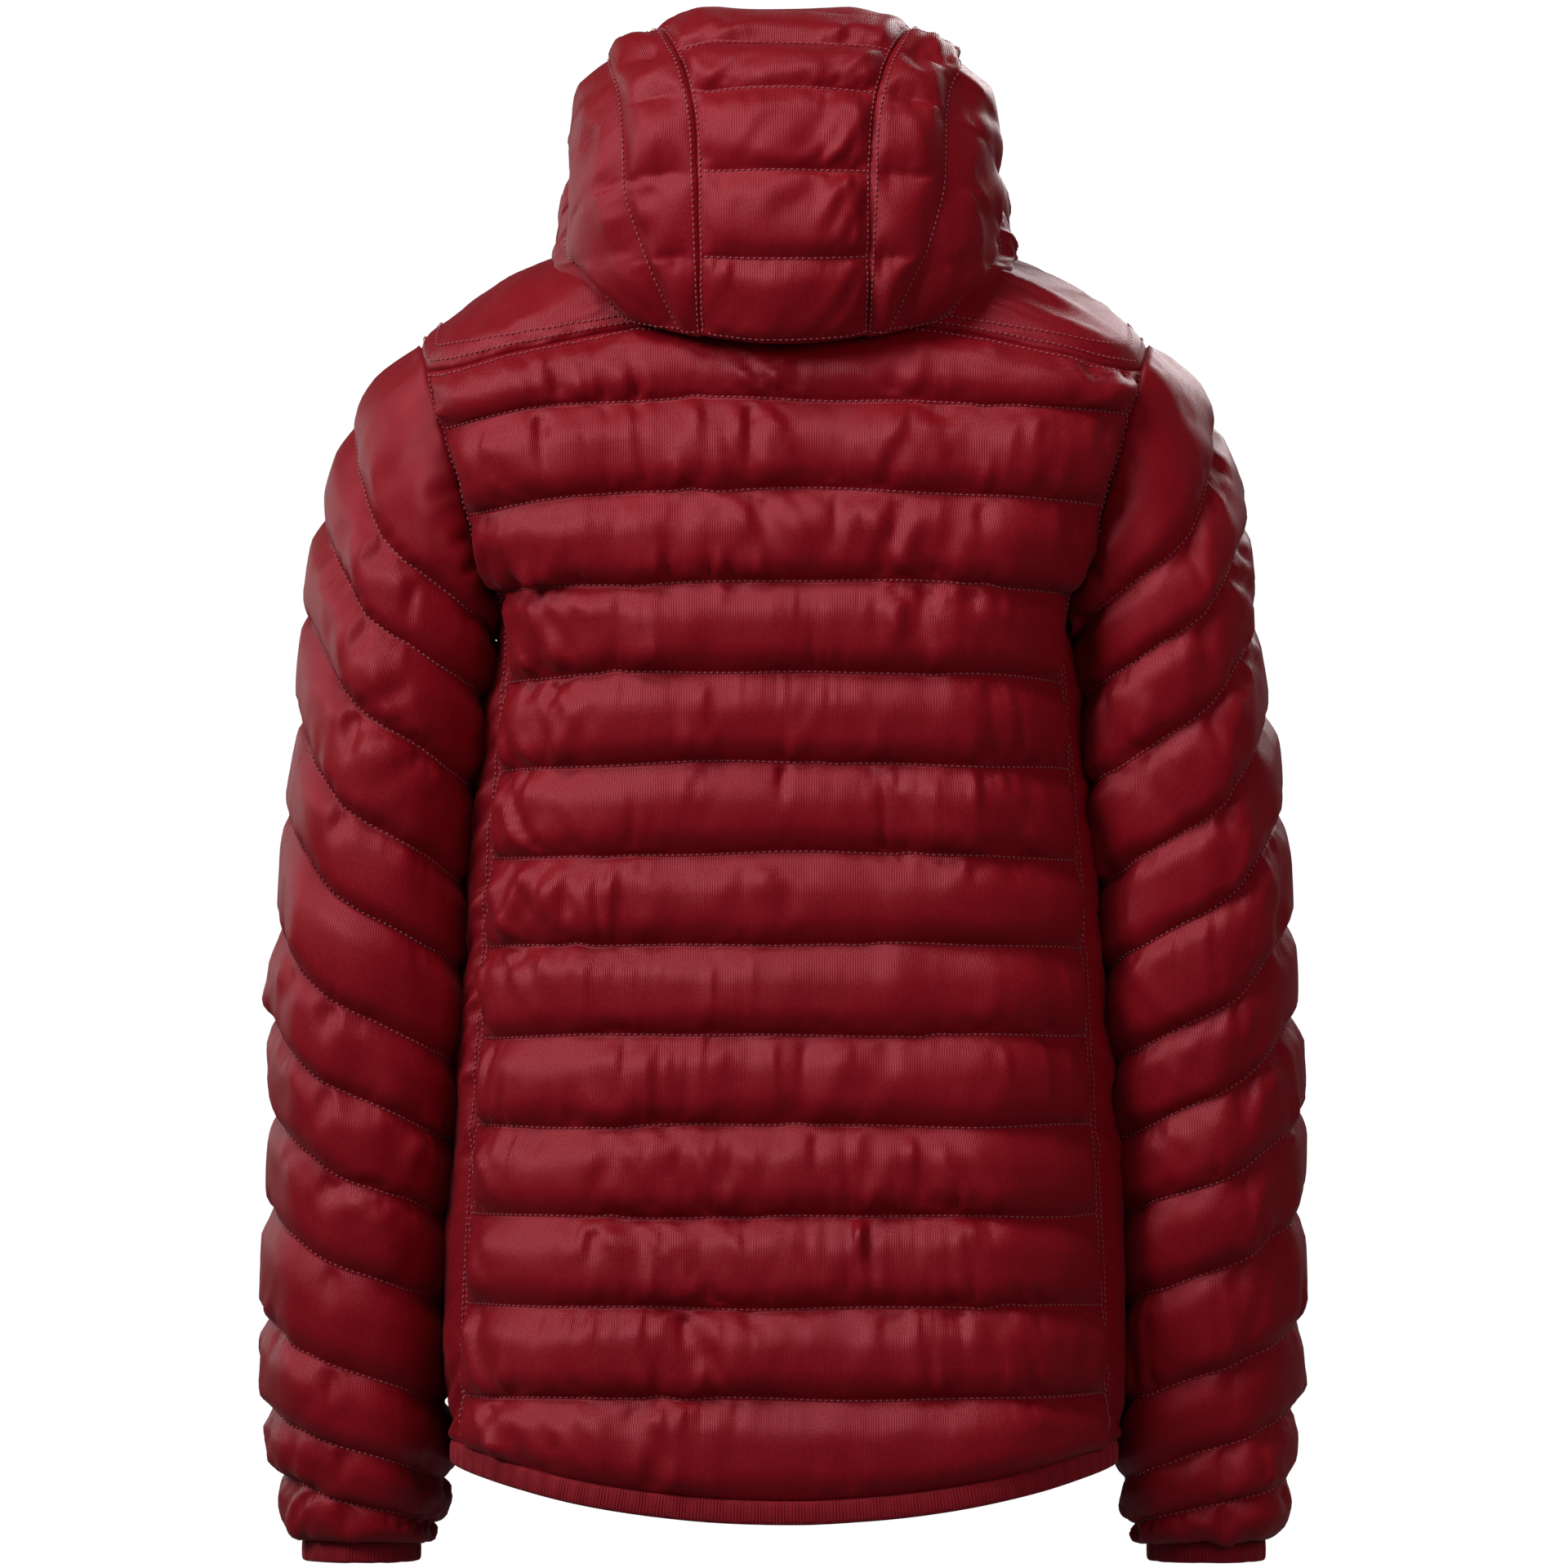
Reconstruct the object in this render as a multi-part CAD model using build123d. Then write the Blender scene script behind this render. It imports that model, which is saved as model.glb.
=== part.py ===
"""Hooded, quilted ski jacket. Millimetres, +Z up, front towards -Y, wearer's left towards +X.
The origin is the middle of the neckline. Layers are insets from the outer surface, so neighbours share faces."""

import math
import os

from build123d import *

# --- layer insets, measured inward from the outer surface ---
SKIN = 1.0  # shell fabric with its backing
FILL = 12.0  # synthetic insulation
LINING = 1.0
FILL_IN = SKIN + FILL
TOTAL = FILL_IN + LINING
FIT = 0.4  # clearance between pieces of different bodies

# --- body of the jacket ---
BACK_LENGTH = 698.0  # neckline to the lowest point of the back hem
HEM_RISE = 31.0  # how much higher the hem is at the sides than at centre back
HEM_HALF_WIDTH = 190.0
FRONT_HEM_Y = -128.0  # the front edge at the hem
FRONT_LEAN = 0.05  # the front edge leans back by this much for each unit of height
BINDING_HEIGHT = 12.0
BINDING_INSET = 2.0
BINDING_THICK = 6.0
CORNER_SHARE = 0.8  # corner radius of a body section, as a share of its half depth
SHOULDER_X = 208.0
SHOULDER_Z = -39.0
ARMPIT_X = 162.0
ARMPIT_Z = -200.0
COLLAR_TOP = 66.0
NECKLINE_BACK_Z = 16.0
NECKLINE_FRONT_Z = -28.0
YOKE_SLOPE = 0.2
YOKE_CENTRE_Z = -13.0
YOKE_FRONT_Y = -30.0
SIDE_PANEL_FRONT_Y = -45.0
SIDE_PANEL_BACK_Y = 48.0
FAR = 400.0  # beyond every surface of the jacket

# height, half width and back surface of the body; below the armpit, then the shoulders, then the collar
BODY = [
    (-BACK_LENGTH - 60, HEM_HALF_WIDTH + 1, 122),
    (-600, HEM_HALF_WIDTH - 2, 116),
    (-450, HEM_HALF_WIDTH - 9, 107),
    (-330, HEM_HALF_WIDTH - 16, 105),
    (-240, ARMPIT_X + 2, 109),
    (ARMPIT_Z, ARMPIT_X, 111),
    (-140, 190, 112),
    (-90, 210, 108),
    (-55, 218, 98),
    (SHOULDER_Z, SHOULDER_X + 1, 91),
    (-9, 164, 78),
    (7, 131, 71),
    (24, 86, 65),
    (COLLAR_TOP, 78, 59),
    (COLLAR_TOP + 40, 75, 57),
]

# --- sleeve: inner point, outer point, half depth and middle of each section, from armhole to cuff ---
SLEEVE_GAP = 2.5  # air between the sleeve and the side of the body
ELBOW_Z = -386.0
ELBOW_DEPTH = 62.0
ELBOW_HALF_LENGTH = ELBOW_DEPTH + 4  # leaves room for the two stiffer parts at a right angle
ELBOW_TOP = ELBOW_Z + ELBOW_HALF_LENGTH
ELBOW_BOTTOM = ELBOW_Z - ELBOW_HALF_LENGTH
CUFF_TOP = -713.0
CUFF_BOTTOM = -726.0
ARMHOLE_HALF_DEPTH = 72.0
CUFF_X = HEM_HALF_WIDTH + 50.0
CUFF_Y = -22.0
CUFF_RADIUS = 32.0
CUFF_THICK = 4.5
UPPER_SLEEVE = [
    ((ARMPIT_X + FIT, ARMPIT_Z), (SHOULDER_X + FIT, SHOULDER_Z), ARMHOLE_HALF_DEPTH, 0),
    ((ARMPIT_X + SLEEVE_GAP, ARMPIT_Z - 6), (SHOULDER_X + 34, SHOULDER_Z - 45), ARMHOLE_HALF_DEPTH + 1, 0),
    ((ARMPIT_X + SLEEVE_GAP + 1, ARMPIT_Z - 18), (SHOULDER_X + 54, SHOULDER_Z - 111), ARMHOLE_HALF_DEPTH + 1, 1),
    ((ARMPIT_X + SLEEVE_GAP + 3, ARMPIT_Z - 40), (SHOULDER_X + 64, SHOULDER_Z - 197), ARMHOLE_HALF_DEPTH - 2, 2),
    ((HEM_HALF_WIDTH - 16 + SLEEVE_GAP, ELBOW_TOP), (HEM_HALF_WIDTH + 93, ELBOW_TOP), ELBOW_DEPTH + 3, 3),
]
ELBOW = [
    UPPER_SLEEVE[-1],
    ((HEM_HALF_WIDTH - 12 + SLEEVE_GAP, ELBOW_Z), (HEM_HALF_WIDTH + 97, ELBOW_Z), ELBOW_DEPTH, 4),
    ((HEM_HALF_WIDTH - 8 + SLEEVE_GAP, ELBOW_BOTTOM), (HEM_HALF_WIDTH + 100, ELBOW_BOTTOM), ELBOW_DEPTH - 2, 0),
]
FOREARM = [
    ((HEM_HALF_WIDTH - 8 + SLEEVE_GAP, ELBOW_BOTTOM - FIT), (HEM_HALF_WIDTH + 100, ELBOW_BOTTOM - FIT), ELBOW_DEPTH - 2, 0),
    ((HEM_HALF_WIDTH - 1 + SLEEVE_GAP, -600), (HEM_HALF_WIDTH + 103, -600), 56, -12),
    ((HEM_HALF_WIDTH + 1 + SLEEVE_GAP, -667), (HEM_HALF_WIDTH + 98, -667), 50, -18),
    ((HEM_HALF_WIDTH + 5 + SLEEVE_GAP, -700), (HEM_HALF_WIDTH + 94, -700), 44, -21),
    ((HEM_HALF_WIDTH + 9 + SLEEVE_GAP, CUFF_TOP), (HEM_HALF_WIDTH + 90, CUFF_TOP), CUFF_RADIUS + 6, CUFF_Y),
]

# --- hood: height, half width, reach forward and reach back, from the fold over the yoke to the crown ---
HOOD_FACE_HALF_WIDTH = 92.0
HOOD_FACE_TOP = 122.0
HOOD_FACE_LOW = -30.0
HOOD_FACE_CORNER = 34.0
HOOD_FACE_Y = -40.0
HOOD_NECK_BACK = 97.0
HOOD_CENTRE_HALF_WIDTH = 54.0
HOOD_REST_GAP = 1.5  # air between the hood and the shoulders it hangs over
HOOD_BINDING = 6.0
HOOD_FOLD_Z = -35.0
HOOD_FRONT_LOW = (-62.0, 10.0)  # Y and Z of the lowest point in front, which the hood tips about
HOOD = [
    (HOOD_FOLD_Z - 10, 127, 100, 120),
    (10, 129, 100, 129),
    (40, 126, 100, 131),
    (64, 119, 112, 131),
    (101, 111, 118, 124),
    (120, 104, 118, 116),
    (138, 88, 112, 98),
    (150, 62, 95, 72),
    (156, 30, 60, 40),
]

# --- zips: width is across, height is out of the cloth ---
ZIP_GAP = 8.0  # half the opening between the front panels
TAPE_EDGE = 18.0
TAPE_THICK = 0.8
ZIP_SINK = 4.0  # the chain's middle lies this far behind the outer surface
TOOTH_PITCH = 3.0
TOOTH_LENGTH = 1.2
TOOTH_REACH = 3.2
TOOTH_CROSS = 1.0
TOOTH_HEIGHT = 2.6
SLIDER_WIDTH = 11.0
SLIDER_LENGTH = 12.0
SLIDER_HEIGHT = 6.6
SLIDER_PLATE = 1.5
SLIDER_POST = 2.0
CROWN_HEIGHT = 3.4
PIN_RADIUS = 0.8
PIN_CLEARANCE = 0.06
PULL_WIDTH = 7.0
PULL_LENGTH = 30.0
PULL_THICK = 1.6
PULL_EYE_RADIUS = 2.0
MAIN_ZIP_BOTTOM = -650.0
MAIN_ZIP_TOP = 54.0
POCKET_X = 112.0
POCKET_Z = -480.0
POCKET_ZIP_LENGTH = 160.0
POCKET_SLANT = 12.0
POCKET_TURN = 14.0  # how far the pocket zip faces sideways
POCKET_SLOT = 7.0  # half the width of the slot in the front panel
POCKET_BAG_THICK = 2.4

# --- hanger loop ---
LOOP_HALF_SPAN = 28.0
LOOP_REACH = 17.0
LOOP_RADIUS = 1.8
LOOP_Z = 30.0


def front_y(z):
    """The straight front edge."""
    return FRONT_HEM_Y + FRONT_LEAN * (z + BACK_LENGTH)


def offset_points(points, inset):
    """Moves an open profile of (outward, up) points inward by inset, with mitred corners."""
    normals = []
    for (r0, z0), (r1, z1) in zip(points, points[1:]):
        length = math.hypot(r1 - r0, z1 - z0)
        normals.append(((z1 - z0) / length, (r0 - r1) / length))
    moved = []
    for i, (r, z) in enumerate(points):
        n0 = normals[max(i - 1, 0)]
        n1 = normals[min(i, len(normals) - 1)]
        share = inset / (1 + n0[0] * n1[0] + n0[1] * n1[1])
        moved.append((r - share * (n0[0] + n1[0]), z - share * (n0[1] + n1[1])))
    return moved


def along(points, z):
    """The outward value of a profile of (outward, up) points at height z."""
    for (r0, z0), (r1, z1) in zip(points, points[1:]):
        if z <= z1:
            return r0 + (r1 - r0) * (z - z0) / (z1 - z0)
    return points[-1][0]


def body_solid(inset):
    """The body and collar as one solid, inset from the outer surface."""
    back_profile = [(back, z) for z, _, back in BODY]
    faces = []
    for width, z in offset_points([(half, z) for z, half, _ in BODY], inset):
        front = front_y(z) + inset
        back = along(back_profile, z) - inset
        half_depth = (back - front) / 2
        section = RectangleRounded(2 * width, 2 * half_depth, CORNER_SHARE * half_depth)
        faces.append(Pos(0, (front + back) / 2, z) * section)
    return loft(faces, ruled=True)


def hood_solid(inset):
    """The whole hood as one solid, inset from its outer surface."""
    front_profile = [(front, z) for z, _, front, _ in HOOD]
    back_profile = [(back, z) for z, _, _, back in HOOD]
    faces = []
    for half, z in offset_points([(half, z) for z, half, _, _ in HOOD], inset):
        forward = along(front_profile, z) - inset
        rear = along(back_profile, z) - inset
        section = Ellipse(half, (rear + forward) / 2)
        faces.append(Pos(0, (rear - forward) / 2, z) * section)
    return loft(faces, ruled=True)


def sleeve_solid(sections, inset, over=0.0):
    """A sleeve tube as one solid; over lengthens it at both ends so that an inner cut runs past the faces."""
    faces = []
    for i, (inner, outer, half_depth, middle) in enumerate(sections):
        across = Vector(outer[0] - inner[0], 0, outer[1] - inner[1])
        half = across.length / 2 - inset
        centre = Vector((inner[0] + outer[0]) / 2, middle, (inner[1] + outer[1]) / 2)
        plane = Plane(origin=centre, x_dir=across, z_dir=across.cross(Vector(0, 1, 0)))
        if i == 0 and over:
            faces.append(plane.offset(over) * Ellipse(half, half_depth - inset))
        faces.append(plane * Ellipse(half, half_depth - inset))
        if i == len(sections) - 1 and over:
            faces.append(plane.offset(-over) * Ellipse(half, half_depth - inset))
    return loft(faces, ruled=True)


def block(x0, x1, y0, y1, z0, z1):
    """A box from its two corners."""
    return Pos((x0 + x1) / 2, (y0 + y1) / 2, (z0 + z1) / 2) * Box(x1 - x0, y1 - y0, z1 - z0)


def prism_xz(points, y0, y1):
    """A polygon in X and Z, extruded from y0 to y1."""
    face = make_face(Polyline([Vector(x, y0, z) for x, z in points], close=True))
    return extrude(face, amount=y1 - y0, dir=(0, 1, 0))


def prism_yz(points):
    """A polygon in Y and Z, extruded across the whole jacket."""
    face = make_face(Polyline([Vector(-FAR, y, z) for y, z in points], close=True))
    return extrude(face, amount=2 * FAR, dir=(1, 0, 0))


def below_hem(lift):
    """Everything under the hem line raised by lift: an arc across the back, level across the front."""
    side_z = -BACK_LENGTH + HEM_RISE + lift
    low_z = -BACK_LENGTH + lift
    floor_z = -BACK_LENGTH - FAR
    arc = ThreePointArc((-HEM_HALF_WIDTH, 0, side_z), (0, 0, low_z), (HEM_HALF_WIDTH, 0, side_z))
    edges = [
        arc,
        Polyline(
            (HEM_HALF_WIDTH, 0, side_z),
            (FAR, 0, side_z + HEM_RISE),
            (FAR, 0, floor_z),
            (-FAR, 0, floor_z),
            (-FAR, 0, side_z + HEM_RISE),
            (-HEM_HALF_WIDTH, 0, side_z),
        ),
    ]
    back = extrude(make_face(edges), amount=FAR, dir=(0, 1, 0))
    return back + block(-FAR, FAR, -FAR, 0, floor_z, side_z)


def right_of(part):
    """The wearer's right-hand copy of a left-hand piece."""
    return mirror(part, about=Plane.YZ)


def sides(left):
    """The left and right pieces made from a left-hand one."""
    return {"left": left, "right": right_of(left)}


PARTS = {}


def keep(name, shape):
    """Files one node."""
    PARTS[name] = shape


# --- regions of the body ---
def neckline(lift=0.0):
    """Everything above the tilted neckline."""
    slope = (NECKLINE_BACK_Z - NECKLINE_FRONT_Z) / (65.0 - FRONT_HEM_Y)
    front = NECKLINE_BACK_Z - slope * (65.0 + FAR) + lift
    back = NECKLINE_BACK_Z + slope * (FAR - 65.0) + lift
    return prism_yz([(-FAR, front), (FAR, back), (FAR, FAR), (-FAR, FAR)])


def armhole():
    """The space that the left sleeve takes out of the body, above the armpit."""
    points = [
        (ARMPIT_X, ARMPIT_Z),
        (SHOULDER_X, SHOULDER_Z),
        (SHOULDER_X, FAR),
        (FAR, FAR),
        (FAR, ARMPIT_Z),
    ]
    return prism_xz(points, -FAR, FAR)


def yoke_region():
    """Left shoulder, from the yoke seam on the back over to the front of the shoulder."""
    outer_z = YOKE_CENTRE_Z - YOKE_SLOPE * FAR
    points = [(0, YOKE_CENTRE_Z), (FAR, outer_z), (FAR, FAR), (0, FAR)]
    return prism_xz(points, YOKE_FRONT_Y, FAR)


def side_region():
    """Left side panel, below the armpit."""
    return block(100, FAR, SIDE_PANEL_FRONT_Y, SIDE_PANEL_BACK_Y, -FAR * 3, ARMPIT_Z)


def pocket_plane():
    """Plane of the left pocket zip: X across the zip, Y up along it, Z out of the cloth."""
    turn = math.radians(POCKET_TURN)
    slant = math.radians(POCKET_SLANT)
    out = Vector(math.sin(turn), -math.cos(turn), FRONT_LEAN)
    across = Vector(math.cos(turn), math.sin(turn), math.tan(slant))
    corner_sink = 3.0  # the front has curved back by this much at the pocket, less room for the pull
    origin = Vector(POCKET_X, front_y(POCKET_Z) + corner_sink, POCKET_Z)
    return Plane(origin=origin, x_dir=across, z_dir=out)


def body_parts():
    cut = [below_hem(BINDING_HEIGHT), armhole(), right_of(armhole())]
    outer, skin_in, fill_in, lining_in = (body_solid(t) for t in (0, SKIN, FILL_IN, TOTAL))
    top = block(-FAR, FAR, -FAR, FAR, COLLAR_TOP, FAR)
    front_gap = block(-ZIP_GAP, ZIP_GAP, -FAR, 0, -3 * FAR, FAR)
    skin = outer - skin_in - cut - top - front_gap
    fill = skin_in - fill_in - cut - top - front_gap
    lining = fill_in - lining_in - cut - top - front_gap

    collar = neckline()
    keep("collar_shell", skin & collar)
    fill_collar = fill & collar
    skin, fill = skin - collar, fill - collar

    pocket = pocket_plane()
    slot = pocket * Box(2 * POCKET_SLOT, POCKET_ZIP_LENGTH + 8, 5 * TOTAL)
    tape_room = main_tape_solid()
    yoke, side = yoke_region(), side_region()
    front = block(0, FAR, -FAR, 0, -3 * FAR, FAR)
    front = front - yoke - side
    left_skin = {"front": (skin & front) - slot, "yoke": skin & yoke}
    left_fill = {"front": (fill & front) - slot - tape_room, "yoke": fill & yoke}
    for region in ("front", "yoke"):
        for hand, shape in sides(left_skin[region]).items():
            keep(f"{hand}_{region}_shell", shape)
        for hand, shape in sides(left_fill[region]).items():
            keep(f"{hand}_{region}_insulation", shape)
    for hand, shape in sides((skin & side) + (fill & side)).items():
        keep(f"{hand}_side_panel", shape)

    back = block(-FAR, FAR, 0, FAR, -3 * FAR, FAR)
    back = back - yoke - side - right_of(yoke) - right_of(side)
    keep("back_shell", skin & back)
    keep("back_insulation", fill & back)
    keep("collar_insulation", fill_collar - tape_room - right_of(tape_room))
    keep("body_lining", lining - slot - right_of(slot))

    bag_in = body_solid(TOTAL + POCKET_BAG_THICK)
    bag = (lining_in - bag_in) & block(42, 138, -FAR, -20, POCKET_Z - 115, POCKET_Z + 82)
    for hand, shape in sides(bag).items():
        keep(f"{hand}_pocket_bag", shape)
    flap = (lining_in - bag_in) & block(-22, 22, -FAR, 0, -3 * FAR, FAR)
    keep("storm_flap", flap - cut[0] - top)

    band = body_solid(BINDING_INSET) - body_solid(BINDING_INSET + BINDING_THICK)
    keep("hem_binding", (band & below_hem(BINDING_HEIGHT)) - below_hem(0) - front_gap)


# --- zips ---
MAIN_ZIP = Plane(origin=(0, front_y(0), 0), x_dir=(1, 0, 0), z_dir=(0, -1, FRONT_LEAN))


def main_tape_solid():
    """Left tape of the main zip."""
    middle = (MAIN_ZIP_BOTTOM + MAIN_ZIP_TOP) / 2
    width = TAPE_EDGE - TOOTH_REACH
    tape = Box(width, MAIN_ZIP_TOP - MAIN_ZIP_BOTTOM, TAPE_THICK)
    return MAIN_ZIP * Pos(TOOTH_REACH + width / 2, middle, -ZIP_SINK) * tape


def teeth(plane, low, high, hand):
    """One row of moulded teeth; the two rows are half a pitch apart and reach across the middle."""
    width = TOOTH_REACH + TOOTH_CROSS
    shift = 0.0 if hand > 0 else TOOTH_PITCH / 2
    count = int((high - low - shift) / TOOTH_PITCH)
    row = []
    for i in range(count):
        place = Pos(hand * (TOOTH_REACH - width / 2), low + shift + i * TOOTH_PITCH, -ZIP_SINK)
        row.append(plane * place * Box(width, TOOTH_LENGTH, TOOTH_HEIGHT))
    return Compound(children=row)


def slider():
    """Two plates joined by a post at the upper end, with a bridge for the pull; the post's top is at Y 0."""
    plates = Box(SLIDER_WIDTH, SLIDER_LENGTH, SLIDER_HEIGHT)
    plates = fillet(plates.edges().filter_by(Axis.Z), 2.0)
    inside = SLIDER_HEIGHT - 2 * SLIDER_PLATE
    plates = plates - Box(2 * TOOTH_REACH + 1, 2 * SLIDER_LENGTH, inside)
    plates = plates - Box(2 * SLIDER_WIDTH, 2 * SLIDER_LENGTH, 2 * TAPE_THICK)
    post = Pos(0, SLIDER_LENGTH / 2 - 1.5, 0) * Box(SLIDER_POST, 3, inside)
    bridge_z = SLIDER_HEIGHT / 2 + CROWN_HEIGHT / 2
    bridge = Pos(0, 0, bridge_z) * Box(3.0, 8.0, CROWN_HEIGHT)
    bridge = fillet(bridge.edges().filter_by(Axis.X).group_by(Axis.Z)[-1], 1.2)
    hole = Pos(0, 0, bridge_z) * Rot(0, 90, 0) * Cylinder(PIN_RADIUS + PIN_CLEARANCE, 10)
    whole = plates + post + (bridge - hole)
    return Pos(0, -SLIDER_LENGTH / 2, -ZIP_SINK) * whole


PULL_PIVOT_Y = -SLIDER_LENGTH / 2
PULL_PIVOT_Z = SLIDER_HEIGHT / 2 + CROWN_HEIGHT / 2 - ZIP_SINK


def pull():
    """The tab that hangs from the slider: a pin, two arms, a plate and an eye at its end."""
    arm_x = 1.5 + 0.5
    arm_w = (PULL_WIDTH / 2) - arm_x
    pin = Rot(0, 90, 0) * Cylinder(PIN_RADIUS, PULL_WIDTH)
    arms = [
        Pos(s * (arm_x + arm_w / 2), -3.5, 0) * Box(arm_w, 9.0, PULL_THICK) for s in (-1, 1)
    ]
    plate_length = PULL_LENGTH - 7.0
    plate = Pos(0, -7.0 - plate_length / 2, 0) * Box(PULL_WIDTH, plate_length, PULL_THICK)
    plate = fillet(plate.edges().filter_by(Axis.Z).group_by(Axis.Y)[0], 3.0)
    eye = Pos(0, -PULL_LENGTH + 4.5, 0) * Cylinder(PULL_EYE_RADIUS, 2 * PULL_THICK)
    whole = pin + arms + (plate - eye)
    return Pos(0, PULL_PIVOT_Y, PULL_PIVOT_Z) * whole


def zip_parts():
    for hand, shape in sides(main_tape_solid()).items():
        keep(f"main_zip_{hand}_tape", shape)
    low = MAIN_ZIP_BOTTOM + 14
    high = MAIN_ZIP_TOP - SLIDER_LENGTH - 1
    keep("main_zip_left_teeth", teeth(MAIN_ZIP, low, high, 1))
    keep("main_zip_right_teeth", teeth(MAIN_ZIP, low, high, -1))
    box = Box(2 * TOOTH_REACH - 0.2, 10, 5) - Pos(1.6, 3, 0) * Box(1.6, 10, 1.6)
    keep("zip_retainer_box", MAIN_ZIP * Pos(0, MAIN_ZIP_BOTTOM + 5, -ZIP_SINK) * box)
    stop = Box(2.4, 3, 3)
    stops = [
        MAIN_ZIP * Pos(s * 1.7, MAIN_ZIP_TOP + 2, -ZIP_SINK) * stop for s in (-1, 1)
    ]
    keep("main_zip_top_stops", Compound(children=stops))
    keep("main_zip_slider", MAIN_ZIP * Pos(0, MAIN_ZIP_TOP, 0) * slider())
    keep("main_zip_pull", MAIN_ZIP * Pos(0, MAIN_ZIP_TOP, 0) * pull())
    garage = Box(2 * ZIP_GAP - 0.4, 5, 6) - Pos(0, -2, -1) * Box(2 * ZIP_GAP - 4, 5, 4)
    keep("zip_garage", MAIN_ZIP * Pos(0, MAIN_ZIP_TOP + 7, -ZIP_SINK) * garage)

    half = POCKET_ZIP_LENGTH / 2
    for hand, sign in (("left", 1), ("right", -1)):
        plane = pocket_plane()
        width = POCKET_SLOT - TOOTH_REACH
        tapes = [
            plane
            * Pos(s * (TOOTH_REACH + width / 2), 0, -ZIP_SINK)
            * Box(width, POCKET_ZIP_LENGTH + 6, TAPE_THICK)
            for s in (-1, 1)
        ]
        rows = [teeth(plane, -half + 2, half - SLIDER_LENGTH - 1, s) for s in (1, -1)]
        made = {
            "tape": Compound(children=tapes),
            "teeth": Compound(children=[t for row in rows for t in row.solids()]),
            "slider": plane * Pos(0, half, 0) * slider(),
            "pull": plane * Pos(0, half, 0) * pull(),
        }
        for piece, shape in made.items():
            placed = shape if sign > 0 else right_of(shape)
            keep(f"{hand}_pocket_zip_{piece}", placed)


# --- sleeves ---
def sleeve_parts():
    for name, sections in (("upper_sleeve", UPPER_SLEEVE), ("forearm", FOREARM)):
        outer = sleeve_solid(sections, 0)
        inner = [sleeve_solid(sections, t, over=5) for t in (SKIN, FILL_IN, TOTAL)]
        layers = {
            "shell": outer - inner[0],
            "insulation": (outer & inner[0]) - inner[1],
            "lining": (outer & inner[1]) - inner[2],
        }
        for layer, shape in layers.items():
            for hand, placed in sides(shape).items():
                keep(f"{hand}_{name}_{layer}", placed)
    elbow = sleeve_solid(ELBOW, 0) - sleeve_solid(ELBOW, TOTAL, over=5)
    for hand, placed in sides(elbow).items():
        keep(f"{hand}_elbow_section", placed)
    band = Cylinder(CUFF_RADIUS, CUFF_TOP - CUFF_BOTTOM)
    band = band - Cylinder(CUFF_RADIUS - CUFF_THICK, 2 * (CUFF_TOP - CUFF_BOTTOM))
    band = Pos(CUFF_X, CUFF_Y, (CUFF_TOP + CUFF_BOTTOM) / 2) * band
    for hand, placed in sides(band).items():
        keep(f"{hand}_cuff_binding", placed)


# --- hood ---
def face_prism(grow):
    """The space of the face opening, widened by grow."""
    height = HOOD_FACE_TOP - HOOD_FACE_LOW
    prism = Box(2 * (HOOD_FACE_HALF_WIDTH + grow), FAR, height + 2 * grow)
    prism = Pos(0, HOOD_FACE_Y - FAR / 2, HOOD_FACE_LOW + height / 2) * prism
    return fillet(prism.edges().filter_by(Axis.Y), HOOD_FACE_CORNER + grow)


def below_hood():
    """Everything under the lower edge of the hood, which rises from the fold at the back to the front."""
    front_y, front_z = HOOD_FRONT_LOW
    line = [(FAR, HOOD_FOLD_Z), (HOOD_NECK_BACK, HOOD_FOLD_Z), (front_y, front_z), (-FAR, front_z)]
    return prism_yz(line + [(-FAR, -FAR), (FAR, -FAR)])


def hood_parts():
    outer, skin_in, fill_in, lining_in = (hood_solid(t) for t in (0, SKIN, FILL_IN, TOTAL))
    room = [body_solid(-HOOD_REST_GAP), below_hood()]
    rim, face = face_prism(HOOD_BINDING), face_prism(0)
    skin = (outer - room - rim) - skin_in
    centre = block(-HOOD_CENTRE_HALF_WIDTH, HOOD_CENTRE_HALF_WIDTH, -FAR, FAR, -FAR, FAR)
    side = block(HOOD_CENTRE_HALF_WIDTH, FAR, -FAR, FAR, -FAR, FAR)
    keep("hood_center_panel", skin & centre)
    for hand, shape in sides(skin & side).items():
        keep(f"hood_{hand}_panel", shape)
    keep("hood_insulation", (skin_in - room - rim) - fill_in)
    keep("hood_lining", (fill_in - room - rim) - lining_in)
    keep("hood_binding", ((outer - lining_in) & rim) - face - room)


# --- hanger loop ---
def loop_part():
    back = along([(b, z) for z, _, b in BODY], LOOP_Z) - TOTAL
    path = ThreePointArc(
        (-LOOP_HALF_SPAN, back - 0.5, LOOP_Z),
        (0, back - LOOP_REACH, LOOP_Z),
        (LOOP_HALF_SPAN, back - 0.5, LOOP_Z),
    )
    start = Plane(origin=path @ 0, z_dir=path % 0)
    keep("hanger_loop", sweep(start * Circle(LOOP_RADIUS), path=path))


def main():
    body_parts()
    zip_parts()
    sleeve_parts()
    hood_parts()
    loop_part()
    os.makedirs("parts", exist_ok=True)
    for name, shape in PARTS.items():
        export_step(shape, f"parts/{name}.step")


if __name__ == "__main__":
    main()
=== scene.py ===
"""Hooded quilted ski jacket. Row frame in metres; the geometry is worked out in millimetres.
Front towards -Y, wearer's left towards +X, origin in the middle of the neckline."""

import math

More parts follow.
